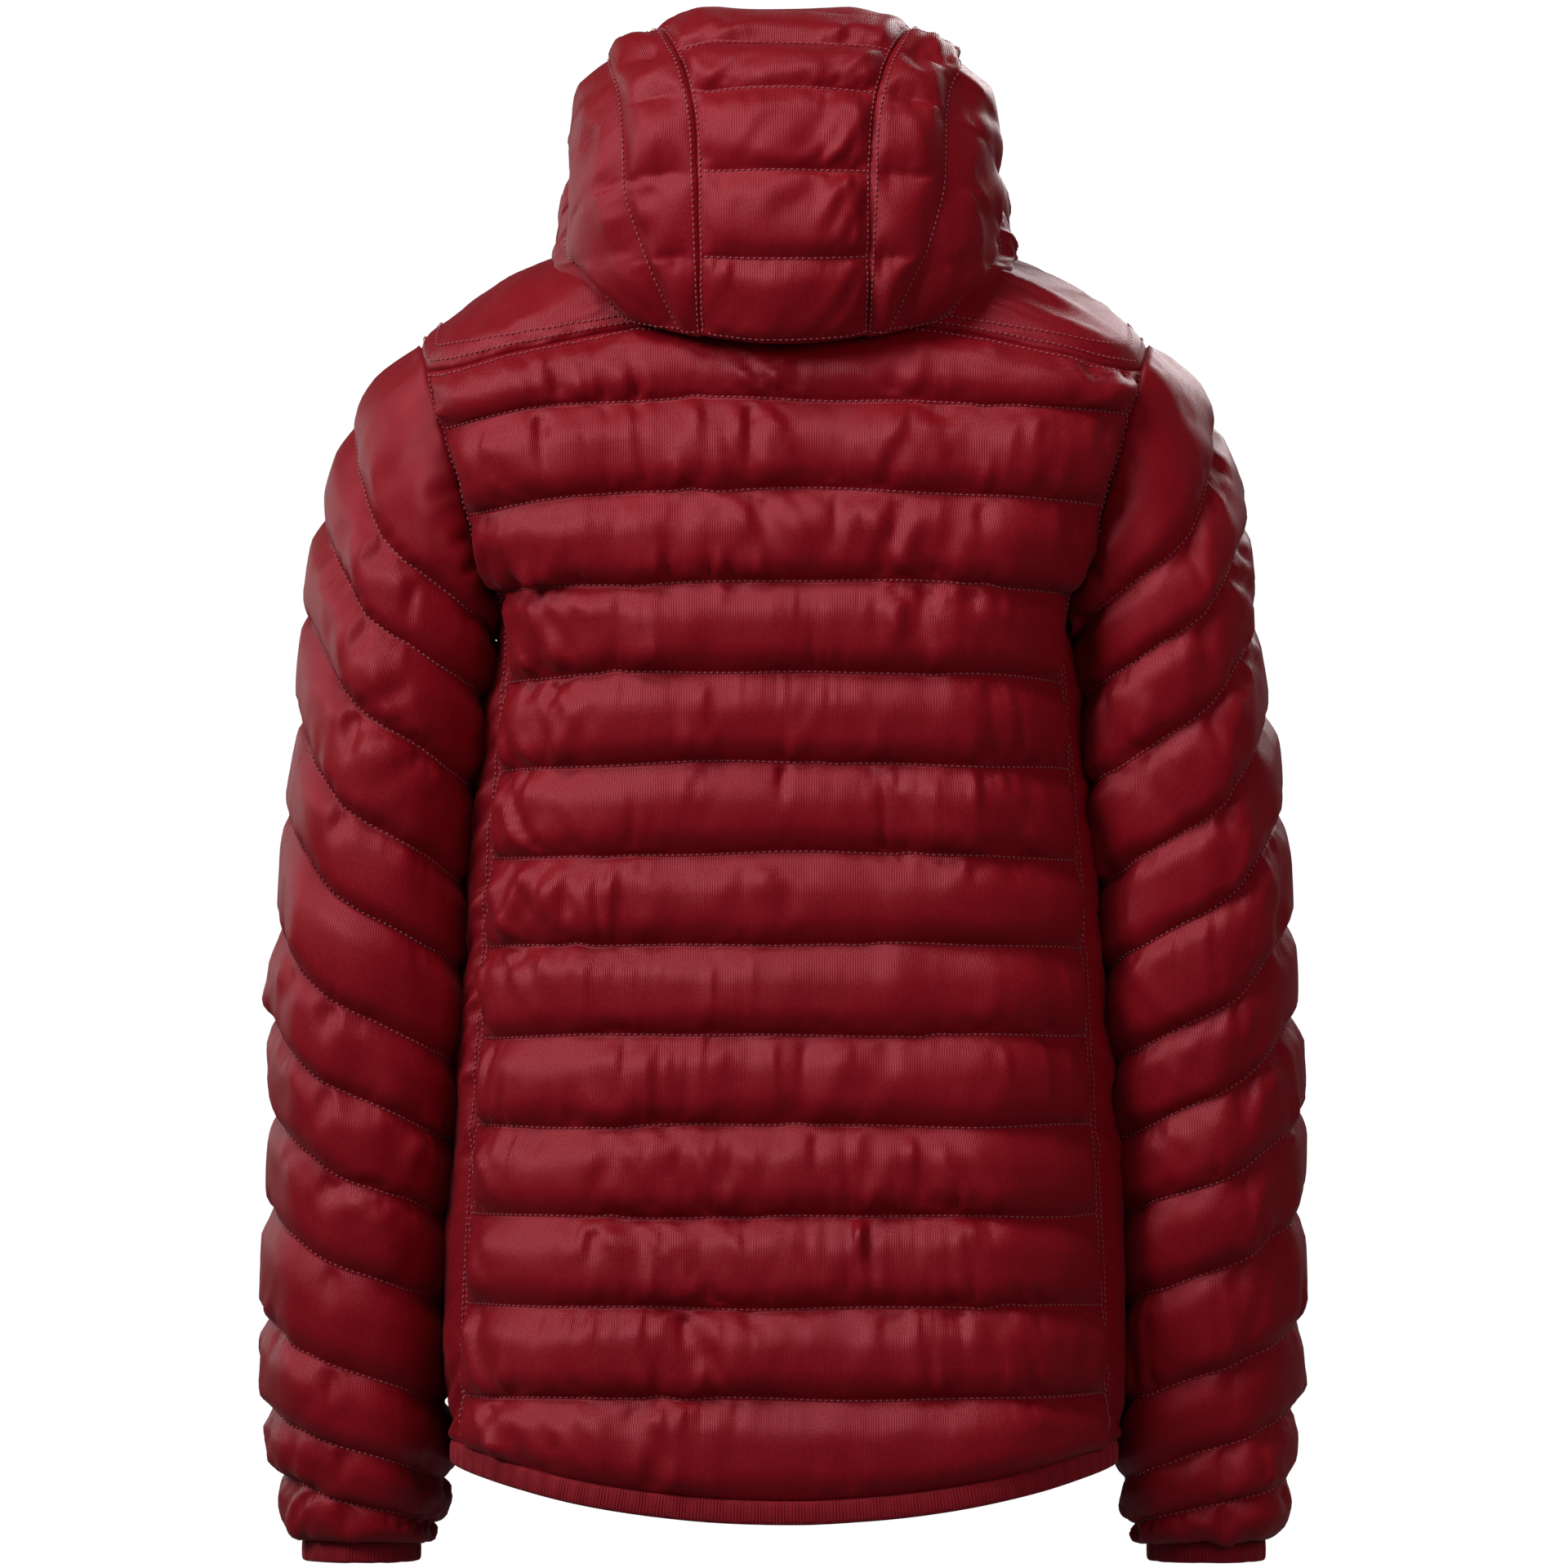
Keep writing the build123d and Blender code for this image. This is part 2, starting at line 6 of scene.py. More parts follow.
import bpy
import numpy as np
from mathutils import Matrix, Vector


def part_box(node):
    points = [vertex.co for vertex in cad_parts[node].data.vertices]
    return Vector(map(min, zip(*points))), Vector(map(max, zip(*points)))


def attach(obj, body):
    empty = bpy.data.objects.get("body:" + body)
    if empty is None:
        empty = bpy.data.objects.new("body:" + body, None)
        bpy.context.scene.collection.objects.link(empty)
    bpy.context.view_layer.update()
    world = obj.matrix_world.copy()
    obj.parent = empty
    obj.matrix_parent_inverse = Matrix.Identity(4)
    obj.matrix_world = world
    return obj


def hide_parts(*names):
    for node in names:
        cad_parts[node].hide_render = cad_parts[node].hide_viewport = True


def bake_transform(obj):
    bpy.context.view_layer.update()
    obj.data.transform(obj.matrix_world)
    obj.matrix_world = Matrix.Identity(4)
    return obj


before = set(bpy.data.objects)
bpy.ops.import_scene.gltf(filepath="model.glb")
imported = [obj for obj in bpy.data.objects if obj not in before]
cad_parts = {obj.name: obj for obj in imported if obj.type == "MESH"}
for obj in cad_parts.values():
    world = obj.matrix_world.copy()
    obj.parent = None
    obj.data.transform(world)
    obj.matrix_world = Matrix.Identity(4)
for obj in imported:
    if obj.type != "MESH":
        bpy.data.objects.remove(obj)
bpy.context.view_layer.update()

PER_CHANNEL = 15  # grid rows in one quilted channel
CROWD = 0.08  # how much the rows of a channel crowd towards its sewn lines
COARSE = 3  # the inner side of a panel has one point for this many on the outer side
THREADS, BIAS, BENDING = 0.9, 0.35, 0.10  # stiffness along the weave, across it and against bending
DAMPING = 0.92  # share of its speed that the cloth keeps from step to step


# -------- small maths
def pchip(table, x):
    """Smooth value of a table of (x, y) rows, without overshoot."""
    xs, ys = np.array(table, float).T
    h, d = np.diff(xs), np.diff(ys) / np.diff(xs)
    m = np.empty_like(ys)
    m[0], m[-1] = d[0], d[-1]
    same = d[:-1] * d[1:] > 0
    m[1:-1] = np.where(same, 2 * d[:-1] * d[1:] / np.where(same, d[:-1] + d[1:], 1), 0)
    x = np.clip(x, xs[0], xs[-1])
    i = np.clip(np.searchsorted(xs, x) - 1, 0, len(h) - 1)
    t = (x - xs[i]) / h[i]
    a, b = ys[i], ys[i + 1]
    return (
        a * (1 + 2 * t) * (1 - t) ** 2
        + m[i] * h[i] * t * (1 - t) ** 2
        + b * t * t * (3 - 2 * t)
        + m[i + 1] * h[i] * t * t * (t - 1)
    )


def unit(v):
    return v / np.maximum(np.linalg.norm(v, axis=-1, keepdims=True), 1e-9)


def run_length(p):
    """Length along a line of points, up to each of them."""
    return np.concatenate([[0], np.cumsum(np.linalg.norm(np.diff(p, axis=0), axis=-1))])


def at_lengths(at, s, values):
    """Values of a line, whose points lie at lengths s, at other lengths."""
    return np.stack([np.interp(at, s, values[:, k]) for k in range(values.shape[1])], -1)


def dot(a, b):
    return np.einsum("...k,...k->...", a, b)


def smooth01(t):
    t = np.clip(t, 0, 1)
    return t * t * (3 - 2 * t)


def normals(p, sign=1.0):
    """Unit normals of a grid of points."""
    du = np.gradient(p, axis=1)
    dv = np.gradient(p, axis=0)
    return sign * unit(np.cross(du, dv))


def noise_field(shape, step_r, step_c, seed):
    """Smooth random field from -1 to 1, with features of step_r rows by step_c columns."""
    gen = np.random.default_rng(seed)
    rows, cols = shape
    nr, nc = int(rows / step_r) + 4, int(cols / step_c) + 4
    g = gen.standard_normal((nr, nc))
    r, c = np.arange(rows) / step_r + 1, np.arange(cols) / step_c + 1
    ri, ci = r.astype(int), c.astype(int)
    rf, cf = smooth01(r - ri)[:, None], smooth01(c - ci)[None, :]
    a = g[np.ix_(ri, ci)] * (1 - cf) + g[np.ix_(ri, ci + 1)] * cf
    b = g[np.ix_(ri + 1, ci)] * (1 - cf) + g[np.ix_(ri + 1, ci + 1)] * cf
    return (a * (1 - rf) + b * rf) * 0.8


# -------- cloth over filling
def relax(base, shape, nrm, fixed, begin, slack_u, slack_v, push, steps):
    """Position-based cloth on a grid. Fixed points stay on the base; the rest has the lengths of the
    filled shape and some more, and is pushed out by the filling, so it bulges between the sewn lines."""
    free = (~fixed).astype(np.float32)
    p = np.where(fixed[..., None], base, begin).astype(np.float32)
    slack_u, slack_v = np.broadcast_to(slack_u, fixed.shape), np.broadcast_to(slack_v, fixed.shape)
    n = nrm.astype(np.float32)
    old = p.copy()
    sl = np.s_
    weight = np.array([0, 0, -0.35 * push.mean()], np.float32)

    def pair(a, b, slack, stiff):
        rest = (np.linalg.norm(shape[b] - shape[a], axis=-1) * (1 + slack[a])).astype(np.float32)
        wa, wb = free[a], free[b]
        total = wa + wb
        scale = np.where(total > 0, stiff / np.maximum(total, 1), 0).astype(np.float32)
        return a, b, rest, (wa * scale)[..., None], (wb * scale)[..., None]

    pairs = []
    for o in (0, 1):
        pairs.append(pair(sl[:, o:-1:2], sl[:, o + 1 :: 2], slack_u, THREADS))
        pairs.append(pair(sl[o:-1:2, :], sl[o + 1 :: 2, :], slack_v, THREADS))
        both = (slack_u + slack_v) / 2
        pairs.append(pair(sl[o:-1:2, :-1], sl[o + 1 :: 2, 1:], both, BIAS))
        pairs.append(pair(sl[o:-1:2, 1:], sl[o + 1 :: 2, :-1], both, BIAS))
    for o in range(4):
        if base.shape[1] > o + 4:
            pairs.append(pair(sl[:, o:-2:4], sl[:, o + 2 :: 4], slack_u, BENDING))
        if base.shape[0] > o + 4:
            pairs.append(pair(sl[o:-2:4, :], sl[o + 2 :: 4, :], slack_v, BENDING))
    for step in range(steps):
        fade = 1.0 if step < steps * 0.75 else 0.5
        move = (p - old) * (DAMPING * free[..., None])
        old = p.copy()
        p = p + move + n * (push * fade * free)[..., None] + weight * free[..., None]
        for a, b, rest, wa, wb in pairs:
            d = p[b] - p[a]
            length = np.sqrt(dot(d, d)) + 1e-6
            d *= ((length - rest) / length)[..., None]
            p[a] += wa * d
            p[b] -= wb * d
    p = p.astype(float)
    for _ in range(2):
        mean = p.copy()
        mean[1:-1, 1:-1] = (p[:-2, 1:-1] + p[2:, 1:-1] + p[1:-1, :-2] + p[1:-1, 2:]) / 4
        p = p + (mean - p) * (0.35 * free[..., None])
    return p


def slanted(shape, seed):
    """Folds that run across the channels at a slant, some one way and some the other."""
    nr, nc = shape
    r, c = np.arange(nr)[:, None], np.arange(nc)[None, :]
    total = np.zeros(shape)
    for k, (lean, across) in enumerate(((0.9, 4.2), (1.5, 3.6), (-0.8, 4.8))):
        wide = noise_field((nr, nc + 4 * nr), 12.0, across, seed + 20 + k)
        total += 0.8 * wide[r, c + nr + (lean * r).astype(int)]
    where = smooth01(0.5 + 1.2 * noise_field(shape, 15.0, 25.0, seed + 30))
    return total * where


def tucks(shape, marks, seed):
    """Short uneven puckers that hang from each sewn line, in bunches."""
    nr, nc = shape
    far = np.min([np.abs(np.arange(nr) - k) for k in marks], axis=0)[:, None] / 2.2
    lump = noise_field(shape, 7.0, 2.6, seed + 40) + 0.8 * noise_field(shape, 5.0, 4.6, seed + 41)
    bunch = smooth01(0.3 + 1.1 * noise_field(shape, 11.0, 14.0, seed + 42))
    return lump * np.sqrt(np.abs(lump)) * far * np.exp(1 - far) * bunch


def quilt(base, sign, rows=(), cols=(), loft=6.0, gather=0.06, seed=1, rumple=0.0, dip=None, droop=1.4,
          puckers=1.2, creased=0.8, steps=170, pinch=(), lifts=()):
    """A quilted panel over a base grid: stitched along the given rows and columns and sewn down at its
    edges. loft is the height of a puff, gather the extra cloth, rumple the slump of the whole panel, dip
    how far it is drawn in, droop how far puffs hang, pinch the starts of darts as (row, column, rows down,
    columns across) and lifts the sewn rows that stand proud. Returns the outer points, the normals and
    the base after its slump."""
    nr, nc = base.shape[:2]
    edge_r = np.minimum(np.arange(nr), np.arange(nr)[::-1])
    edge_c = np.minimum(np.arange(nc), np.arange(nc)[::-1])
    inner = smooth01(edge_r / 10)[:, None] * smooth01(edge_c / 10)[None, :]
    nrm = normals(base, sign)

    def field(step_r, step_c, more):
        return noise_field((nr, nc), step_r, step_c, seed + more)

    if rumple:
        slump = field(22, 20, 5) + 0.6 * field(9, 8, 6)
        base = base + nrm * (rumple * inner * slump)[..., None]
    if dip is not None:
        base = base - nrm * dip[..., None]
    for row, lift in lifts:
        near = 1 - smooth01(np.abs(np.arange(nr) - row % nr) / 4)
        base = base + nrm * (np.asarray(lift) * near[:, None])[..., None]
    fixed = np.zeros((nr, nc), bool)
    fixed[[0, -1, *rows], :] = True
    fixed[:, [0, -1, *cols]] = True
    if dip is not None:
        fixed |= dip > 0.2

    for r, c, down, across in pinch:
        for k in (1, 2, 3):
            fixed[r + round(k * down), c + round(k * across)] = True

    def place(marks, count):
        out = np.zeros(count)
        for a, b in zip(marks, marks[1:]):
            out[a : b + 1] = np.linspace(0, 1, b - a + 1)
        return out

    def arch(marks, count, sag):
        out = np.zeros(count)
        for a, b in zip(marks, marks[1:]):
            t = np.linspace(0, 1, b - a + 1)
            t = (t - CROWD * np.sin(2 * math.pi * t)) ** sag
            out[a : b + 1] = np.maximum(out[a : b + 1], np.sin(math.pi * t) ** 0.72)
        return out

    du = np.linalg.norm(np.gradient(base, axis=1), axis=-1)
    dv = np.linalg.norm(np.gradient(base, axis=0), axis=-1)
    if cols:
        ends = smooth01(edge_r * dv.mean() / 20.0)
        low, droop = 0.0, 0.0
        marks = sorted({0, nc - 1, *cols})
        dome = arch(marks, nc, 1.0)[None, :] * (0.3 + 0.7 * ends)[:, None]
        fine = field(3.2, 9.0, 0)
        folds = slanted((nc, nr), seed).T
        slack_u, slack_v = 0.02, gather
        hang = tucks((nc, nr), marks, seed).T
    else:
        ends = smooth01(edge_c * du.mean() / 20.0)
        marks = sorted({0, nr - 1, *rows})
        low = place(marks, nr)[:, None] ** 2
        dome = arch(marks, nr, 1.12)[:, None] * (0.3 + 0.7 * ends)[None, :]
        fine = 0.7 * field(8.0, 2.9, 0) + 0.8 * field(13.0, 5.5, 2)
        folds = slanted((nr, nc), seed)
        slack_u, slack_v = gather, 0.03
        hang = tucks((nr, nc), marks, seed)
    side = tucks((nc, nr), [0, nc - 1], seed + 60).T if not cols else 0 * hang
    if dip is not None:
        dome = dome * smooth01(1 - dip)
    broad = field(9.0, 14.0, 1)
    more = smooth01(0.5 + 0.9 * field(15.0, 18.0, 8)) * 1.5 + 0.25
    slack_u, slack_v = slack_u * more, slack_v * more
    down = unit(np.gradient(base, axis=0))
    shape = base + nrm * (loft * dome)[..., None] + down * (droop * dome * low)[..., None]
    wrinkle = (0.5 * fine + 3.0 * folds) * np.minimum(1, dome * 2) * (0.4 + 0.6 * more)
    begin = shape + nrm * (loft * 0.2 * broad * dome + wrinkle)[..., None]
    push = (0.003 * loft * np.clip(dome, 0.1, 1) * np.clip((du + dv) / 5.6, 0.2, 1.2)).astype(np.float32)
    out = relax(base, shape, nrm, fixed, begin, slack_u, slack_v, push, steps)
    over = dot(out - base, nrm)
    out = out - nrm * (np.maximum(over - loft * 1.15, 0) * 0.8)[..., None]
    late = puckers * (hang + 1.1 * side) + creased * folds * more
    return out + nrm * (np.minimum(1, dome * 2) * late)[..., None], nrm, base


# -------- meshes
def build(name, verts, faces, mats, face_mat=None, uv=None, smooth=True):
    """A mesh object from arrays; faces is a list of (n, 3) and (n, 4) index arrays."""
    me = bpy.data.meshes.new(name)
    verts = np.asarray(verts, np.float32) * 0.001
    me.vertices.add(len(verts))
    me.vertices.foreach_set("co", verts.ravel())
    loops = np.concatenate([f.ravel() for f in faces]).astype(np.int32)
    sizes = np.concatenate([np.full(len(f), f.shape[1], np.int32) for f in faces])
    me.loops.add(len(loops))
    me.loops.foreach_set("vertex_index", loops)
    me.polygons.add(len(sizes))
    starts = np.concatenate([[0], np.cumsum(sizes)[:-1]]).astype(np.int32)
    me.polygons.foreach_set("loop_start", starts)
    me.polygons.foreach_set("loop_total", sizes)
    if smooth:
        me.polygons.foreach_set("use_smooth", np.ones(len(sizes), bool))
    for m in mats:
        me.materials.append(m)
    if face_mat is not None:
        me.polygons.foreach_set("material_index", np.concatenate(face_mat).astype(np.int32))
    if uv is not None:
        layer = me.uv_layers.new(name="UVMap")
        layer.data.foreach_set("uv", np.asarray(uv, np.float32)[loops].ravel())
    me.update(calc_edges=True)
    me.validate()
    ob = bpy.data.objects.new(name, me)
    bpy.context.scene.collection.objects.link(ob)
    return ob


def grid_quads(nr, nc, start=0, wrap=False, flip=False):
    r = np.arange(nr - 1)[:, None]
    c = np.arange(nc if wrap else nc - 1)[None, :]
    d = (c + 1) % nc
    q = np.stack([r * nc + c, r * nc + d, (r + 1) * nc + d, (r + 1) * nc + c], -1).reshape(-1, 4)
    if flip:
        q = q[:, ::-1]
    return q + start


def ladder(fine, coarse, flip):
    """Triangles between a fine run of points and a coarse run with one for every COARSE."""
    tris = []
    for k in range(len(coarse) - 1):
        f = fine[k * COARSE : (k + 1) * COARSE + 1]
        half = (COARSE + 1) // 2
        for j in range(COARSE):
            tris.append((f[j], f[j + 1], coarse[k] if j < half else coarse[k + 1]))
        tris.append((coarse[k], f[half], coarse[k + 1]))
    return np.array(tris)[:, :: -1 if flip else 1]


def arc_uv(base):
    """Lengths along and across the cloth, in metres, for the weave."""
    du = np.linalg.norm(np.diff(base, axis=1), axis=-1)
    dv = np.linalg.norm(np.diff(base, axis=0), axis=-1)
    u = np.concatenate([np.zeros((base.shape[0], 1)), np.cumsum(du, 1)], 1)
    u -= u[:, base.shape[1] // 2][:, None]
    v = np.concatenate([np.zeros((1, base.shape[1])), np.cumsum(dv, 0)], 0)
    return np.stack([u, v], -1) * 0.001


def stitches(line, nrm, pitch=3.4, length=2.5, radius=0.5, lift=0.8, margin=2.0):
    """Small thread stitches along a line of points."""
    s = run_length(line)
    count = int((s[-1] - 2 * margin) / pitch)
    if count < 1:
        return np.zeros((0, 3)), np.zeros((0, 3), int)
    at = margin + (np.arange(count) + 0.5) * pitch
    mid, ahead = at_lengths(at, s, line), at_lengths(at + 0.6, s, line)
    out = unit(at_lengths(at, s, nrm))
    along = unit(ahead - mid)
    side = np.cross(along, out)
    mid = mid + out * lift
    ring = [mid + side * radius, mid + out * radius, mid - side * radius, mid - out * radius]
    pts = np.stack([mid - along * length / 2, *ring, mid + along * length / 2], 1).reshape(-1, 3)
    one = []
    for k in range(4):
        one += [(0, 1 + k, 1 + (k + 1) % 4), (5, 1 + (k + 1) % 4, 1 + k)]
    tri = np.array(one)[:, ::-1]
    return pts, (tri[None] + np.arange(count)[:, None, None] * 6).reshape(-1, 3)


def panel(name, outer, base, nrm, thick, mats, seams=(), wrap=False, flip=False, taper=True):
    """A closed padded panel: the quilted outer side, a smooth lined inner side, and its edges."""
    inner = base[::COARSE, ::COARSE] - nrm[::COARSE, ::COARSE] * thick
    uv_all = arc_uv(base)
    uv_in = uv_all[::COARSE, ::COARSE]
    if wrap:
        outer, inner, uv_all, uv_in = (a[:, :-1] for a in (outer, inner, uv_all, uv_in))
    nr, nc = outer.shape[:2]
    ir, ic = inner.shape[:2]
    verts = [outer.reshape(-1, 3), inner.reshape(-1, 3)]
    first = nr * nc
    faces = [grid_quads(nr, nc, 0, wrap, flip), grid_quads(ir, ic, first, wrap, not flip)]
    out_id = np.arange(nr * nc).reshape(nr, nc)
    in_id = np.arange(ir * ic).reshape(ir, ic) + first
    if wrap:
        out_id = np.concatenate([out_id, out_id[:, :1]], 1)
        in_id = np.concatenate([in_id, in_id[:, :1]], 1)
    strips = [ladder(out_id[0], in_id[0], not flip), ladder(out_id[-1], in_id[-1], flip)]
    if not wrap:
        strips += [ladder(out_id[:, 0], in_id[:, 0], flip), ladder(out_id[:, -1], in_id[:, -1], not flip)]
    edge = np.concatenate(strips)
    faces.append(edge)
    mat_index = [np.zeros(len(faces[0])), np.ones(len(faces[1])), np.zeros(len(edge))]
    uvs = [uv_all.reshape(-1, 2), uv_in.reshape(-1, 2)]
    at = first + ir * ic
    for line, out in seams:
        p, t = stitches(line, out)
        if len(p):
            verts.append(p)
            faces.append(t + at)
            mat_index.append(np.full(len(t), 2))
            uvs.append(np.zeros((len(p), 2)))
            at += len(p)
    return build(name, np.concatenate(verts), faces, mats, mat_index, np.concatenate(uvs))


def mirrored(p):
    q = p.copy()
    q[..., 0] *= -1
    return q


# -------- materials
def material(name, rgb, rough=0.5, metallic=0.0, **sockets):
    m = bpy.data.materials.new(name)
    m.use_nodes = True
    b = m.node_tree.nodes["Principled BSDF"]
    b.inputs["Base Color"].default_value = (*rgb, 1)
    b.inputs["Roughness"].default_value = rough
    b.inputs["Metallic"].default_value = metallic
    for key, value in sockets.items():
        b.inputs[key.replace("_", " ")].default_value = value
    m.diffuse_color = (*rgb, 1)
    return m, m.node_tree, b


def node(tree, kind, **values):
    n = tree.nodes.new(kind)
    for key, value in values.items():
        if key in n.inputs:
            n.inputs[key].default_value = value
        else:
            setattr(n, key, value)
    return n


def maths(tree, operation, *values, clamp=False):
    """The output of a Math node fed with sockets and numbers."""
    n = node(tree, "ShaderNodeMath", operation=operation, use_clamp=clamp)
    for sock, value in zip(n.inputs, values):
        if isinstance(value, bpy.types.NodeSocket):
            tree.links.new(value, sock)
        else:
            sock.default_value = value
    return n.outputs[0]


def bumped(tree, shader, height, strength, distance):
    bump = node(tree, "ShaderNodeBump", Strength=strength, Distance=distance)
    tree.links.new(height, bump.inputs["Height"])
    tree.links.new(bump.outputs[0], shader.inputs["Normal"])


def rough_over(tree, shader, factor, low, high):
    ramp = node(tree, "ShaderNodeMapRange")
    tree.links.new(factor, ramp.inputs["Value"])
    ramp.inputs["To Min"].default_value, ramp.inputs["To Max"].default_value = low, high
    tree.links.new(ramp.outputs[0], shader.inputs["Roughness"])


def mixed(tree, factor, a, b):
    """Colour between a and b by a factor socket."""
    n = tree.nodes.new("ShaderNodeMix")
    n.data_type = "RGBA"
    tree.links.new(factor, n.inputs["Factor"])
    for sock, value in (("A", a), ("B", b)):
        target = [i for i in n.inputs if i.name == sock and i.type == "RGBA"][0]
        if isinstance(value, bpy.types.NodeSocket):
            tree.links.new(value, target)
        else:
            target.default_value = (*value, 1)
    return [o for o in n.outputs if o.type == "RGBA"][0]


def woven(name, dark, light, rough, pitch, bump, sheen=0.25, ribs=True):
    """Woven cloth: threads both ways, patches of slightly different tone, and a soft sheen."""
    m, t, b = material(
        name, light, rough, Sheen_Weight=sheen, Sheen_Roughness=0.45, Specular_IOR_Level=0.45
    )
    b.inputs["Sheen Tint"].default_value = (1.0, 0.30, 0.34, 1)
    b.inputs["Specular Tint"].default_value = (1.0, 0.33, 0.40, 1)
    link = t.links.new
    uv = node(t, "ShaderNodeTexCoord")
    wave = []
    for way in ("X", "Y"):
        w = node(t, "ShaderNodeTexWave", Distortion=0.6, Detail=1.0, wave_type="BANDS", bands_direction=way)
        w.inputs["Scale"].default_value = 0.31 / (pitch * 0.001)
        w.inputs["Detail Scale"].default_value = 2.0
        link(uv.outputs["UV"], w.inputs["Vector"])
        wave.append(w.outputs["Fac"])
    weave = maths(t, "MULTIPLY", *wave)
    patch = node(t, "ShaderNodeTexNoise", Scale=9.0, Detail=3.0, Roughness=0.55)
    grain = node(t, "ShaderNodeTexNoise", Scale=420.0, Detail=2.0, Roughness=0.6)
    link(uv.outputs["Object"], patch.inputs["Vector"])
    link(uv.outputs["Object"], grain.inputs["Vector"])
    tone = maths(t, "MULTIPLY_ADD", patch.outputs["Fac"], 0.75, grain.outputs["Fac"])
    half = maths(t, "MULTIPLY_ADD", tone, 0.8, -0.3)
    shade = maths(t, "MULTIPLY_ADD", weave, 0.35, half, clamp=True)
    link(mixed(t, shade, dark, light), b.inputs["Base Color"])
    height = maths(t, "MULTIPLY_ADD", grain.outputs["Fac"], 0.5, wave[0] if ribs else weave)
    bumped(t, b, height, bump, 0.0004)
    rough_over(t, b, tone, rough - 0.06, rough + 0.07)
    return m


SHELL = woven("shell_nylon", (0.094, 0.0001, 0.0020), (0.158, 0.0005, 0.0042), 0.40, 0.9, 0.35, 0.05)
LINING = woven("lining_taffeta", (0.035, 0.004, 0.007), (0.060, 0.007, 0.012), 0.38, 0.7, 0.2, 0.15)
ELASTIC = woven("binding_elastic", (0.100, 0.0012, 0.0036), (0.150, 0.0028, 0.0070), 0.68, 1.6, 0.8, 0.12)
TAPE = woven("zip_tape_weave", (0.045, 0.003, 0.006), (0.075, 0.005, 0.010), 0.75, 1.3, 0.7, 0.2, ribs=False)
# Thread colour darkened from the thread's own lighter tone towards the dark of the shaded creases it lies in:
# partly its own colour, partly painted shade.
THREAD = material("stitch_thread", (0.21, 0.020, 0.032), 0.6, Sheen_Weight=0.2)[0]
CLOTH = [SHELL, LINING, THREAD]
HANDS = ("left", 1), ("right", -1)


# -------- body of the jacket
HEM_Z, FRONT_HEM_Y, LEAN, INSET = -698.0, -128.0, 0.05, 3.4
BODY_WIDTH = [
    (-760, 191), (-698, 190), (-661, 189), (-600, 188), (-450, 181), (-330, 174), (-240, 165), (-200, 162),
    (-140, 190), (-90, 210), (-55, 217), (-39, 209), (-24, 188), (-9, 164), (7, 131), (24, 88), (66, 78),
]
BODY_BACK = [
    (-760, 121), (-698, 119), (-600, 116), (-450, 107), (-330, 105), (-240, 109), (-200, 111), (-140, 112),
    (-90, 108), (-55, 98), (-39, 91), (-9, 78), (7, 71), (24, 65), (66, 59),
]
ARMPIT, SHOULDER = (162.0, -200.0), (208.0, -39.0)


def arm_x(z):
    """X of the armhole's plane at height z."""
    return ARMPIT[0] + (z - ARMPIT[1]) * (SHOULDER[0] - ARMPIT[0]) / (SHOULDER[1] - ARMPIT[1])


def front_y(z):
    return FRONT_HEM_Y + LEAN * (z - HEM_Z)


LEVELS = np.linspace(-720, 70, 159)
SHARES = np.linspace(0, 1, 401)


def half_sections(inset):
    """Table over height and share of the way round, from mid front to mid back."""
    table = np.empty((len(LEVELS), len(SHARES), 2))
    for i, z in enumerate(LEVELS):
        w = pchip(BODY_WIDTH, z) - inset
        back, front = pchip(BODY_BACK, z) - inset, front_y(z) + inset
        hd, yc = (back - front) / 2, (back + front) / 2
        r = 0.8 * hd
        a = np.linspace(0, math.pi / 2, 60)
        crown = 2.5
        level = np.ones(29)
        x = [np.linspace(0, w - r, 30)[:-1], w - r + r * np.sin(a), w - r + r * np.cos(a)]
        x = np.concatenate(x + [np.linspace(w - r, 0, 30)[1:]])
        y = [level * (yc - hd), yc - hd + r - r * np.cos(a), yc + hd - r + r * np.sin(a), level * (yc + hd)]
        y = np.concatenate(y)
        y = np.where(y > yc, y + crown * (1 - np.clip(x / max(w - r, 1), 0, 1) ** 2) - crown, y)
        s = np.concatenate([[0], np.cumsum(np.hypot(np.diff(x), np.diff(y)))])
        table[i, :, 0] = np.interp(SHARES * s[-1], s, x)
        table[i, :, 1] = np.interp(SHARES * s[-1], s, y)
    return table


BODY = half_sections(INSET)


def on_body(z, h, table=BODY):
    """Points of the left half of the body at height z and share h of the way round."""
    fz = np.clip((z - LEVELS[0]) / (LEVELS[1] - LEVELS[0]), 0, len(LEVELS) - 1.001)
    fh = np.clip(h, 0, 1) * (len(SHARES) - 1.001)
    i, j = fz.astype(int), fh.astype(int)
    a, b = (fz - i)[..., None], (fh - j)[..., None]
    low = table[i, j] * (1 - b) + table[i, j + 1] * b
    high = table[i + 1, j] * (1 - b) + table[i + 1, j + 1] * b
    return np.concatenate([low * (1 - a) + high * a, z[..., None]], -1)


ZIP_EDGE_X = 8.0
SIDE_FRONT_Y, SIDE_BACK_Y = -45.0, 48.0  # the seams of the side panels, below the armholes
ARM_HEIGHTS = -203, -36
FOOT_Z, FLANK_TOP_Z = -690.0, -188.0  # where the side panel's width at its foot and top is read


def level_of(z):
    """The row of the body's table nearest to height z."""
    return np.clip(np.rint((z - LEVELS[0]) / (LEVELS[1] - LEVELS[0])).astype(int), 0, len(LEVELS) - 1)


def share_where(z, want, measure):
    """Share of the way round where a rising measure of the section at height z reaches a value."""
    z, want = np.broadcast_arrays(np.asarray(z, float), np.asarray(want, float))
    out = [np.interp(w, measure(BODY[i]), SHARES) for i, w in zip(level_of(z).ravel(), want.ravel())]
    return np.array(out).reshape(z.shape)


def share_at_y(z, y):
    return share_where(z, y, lambda p: p[:, 1])


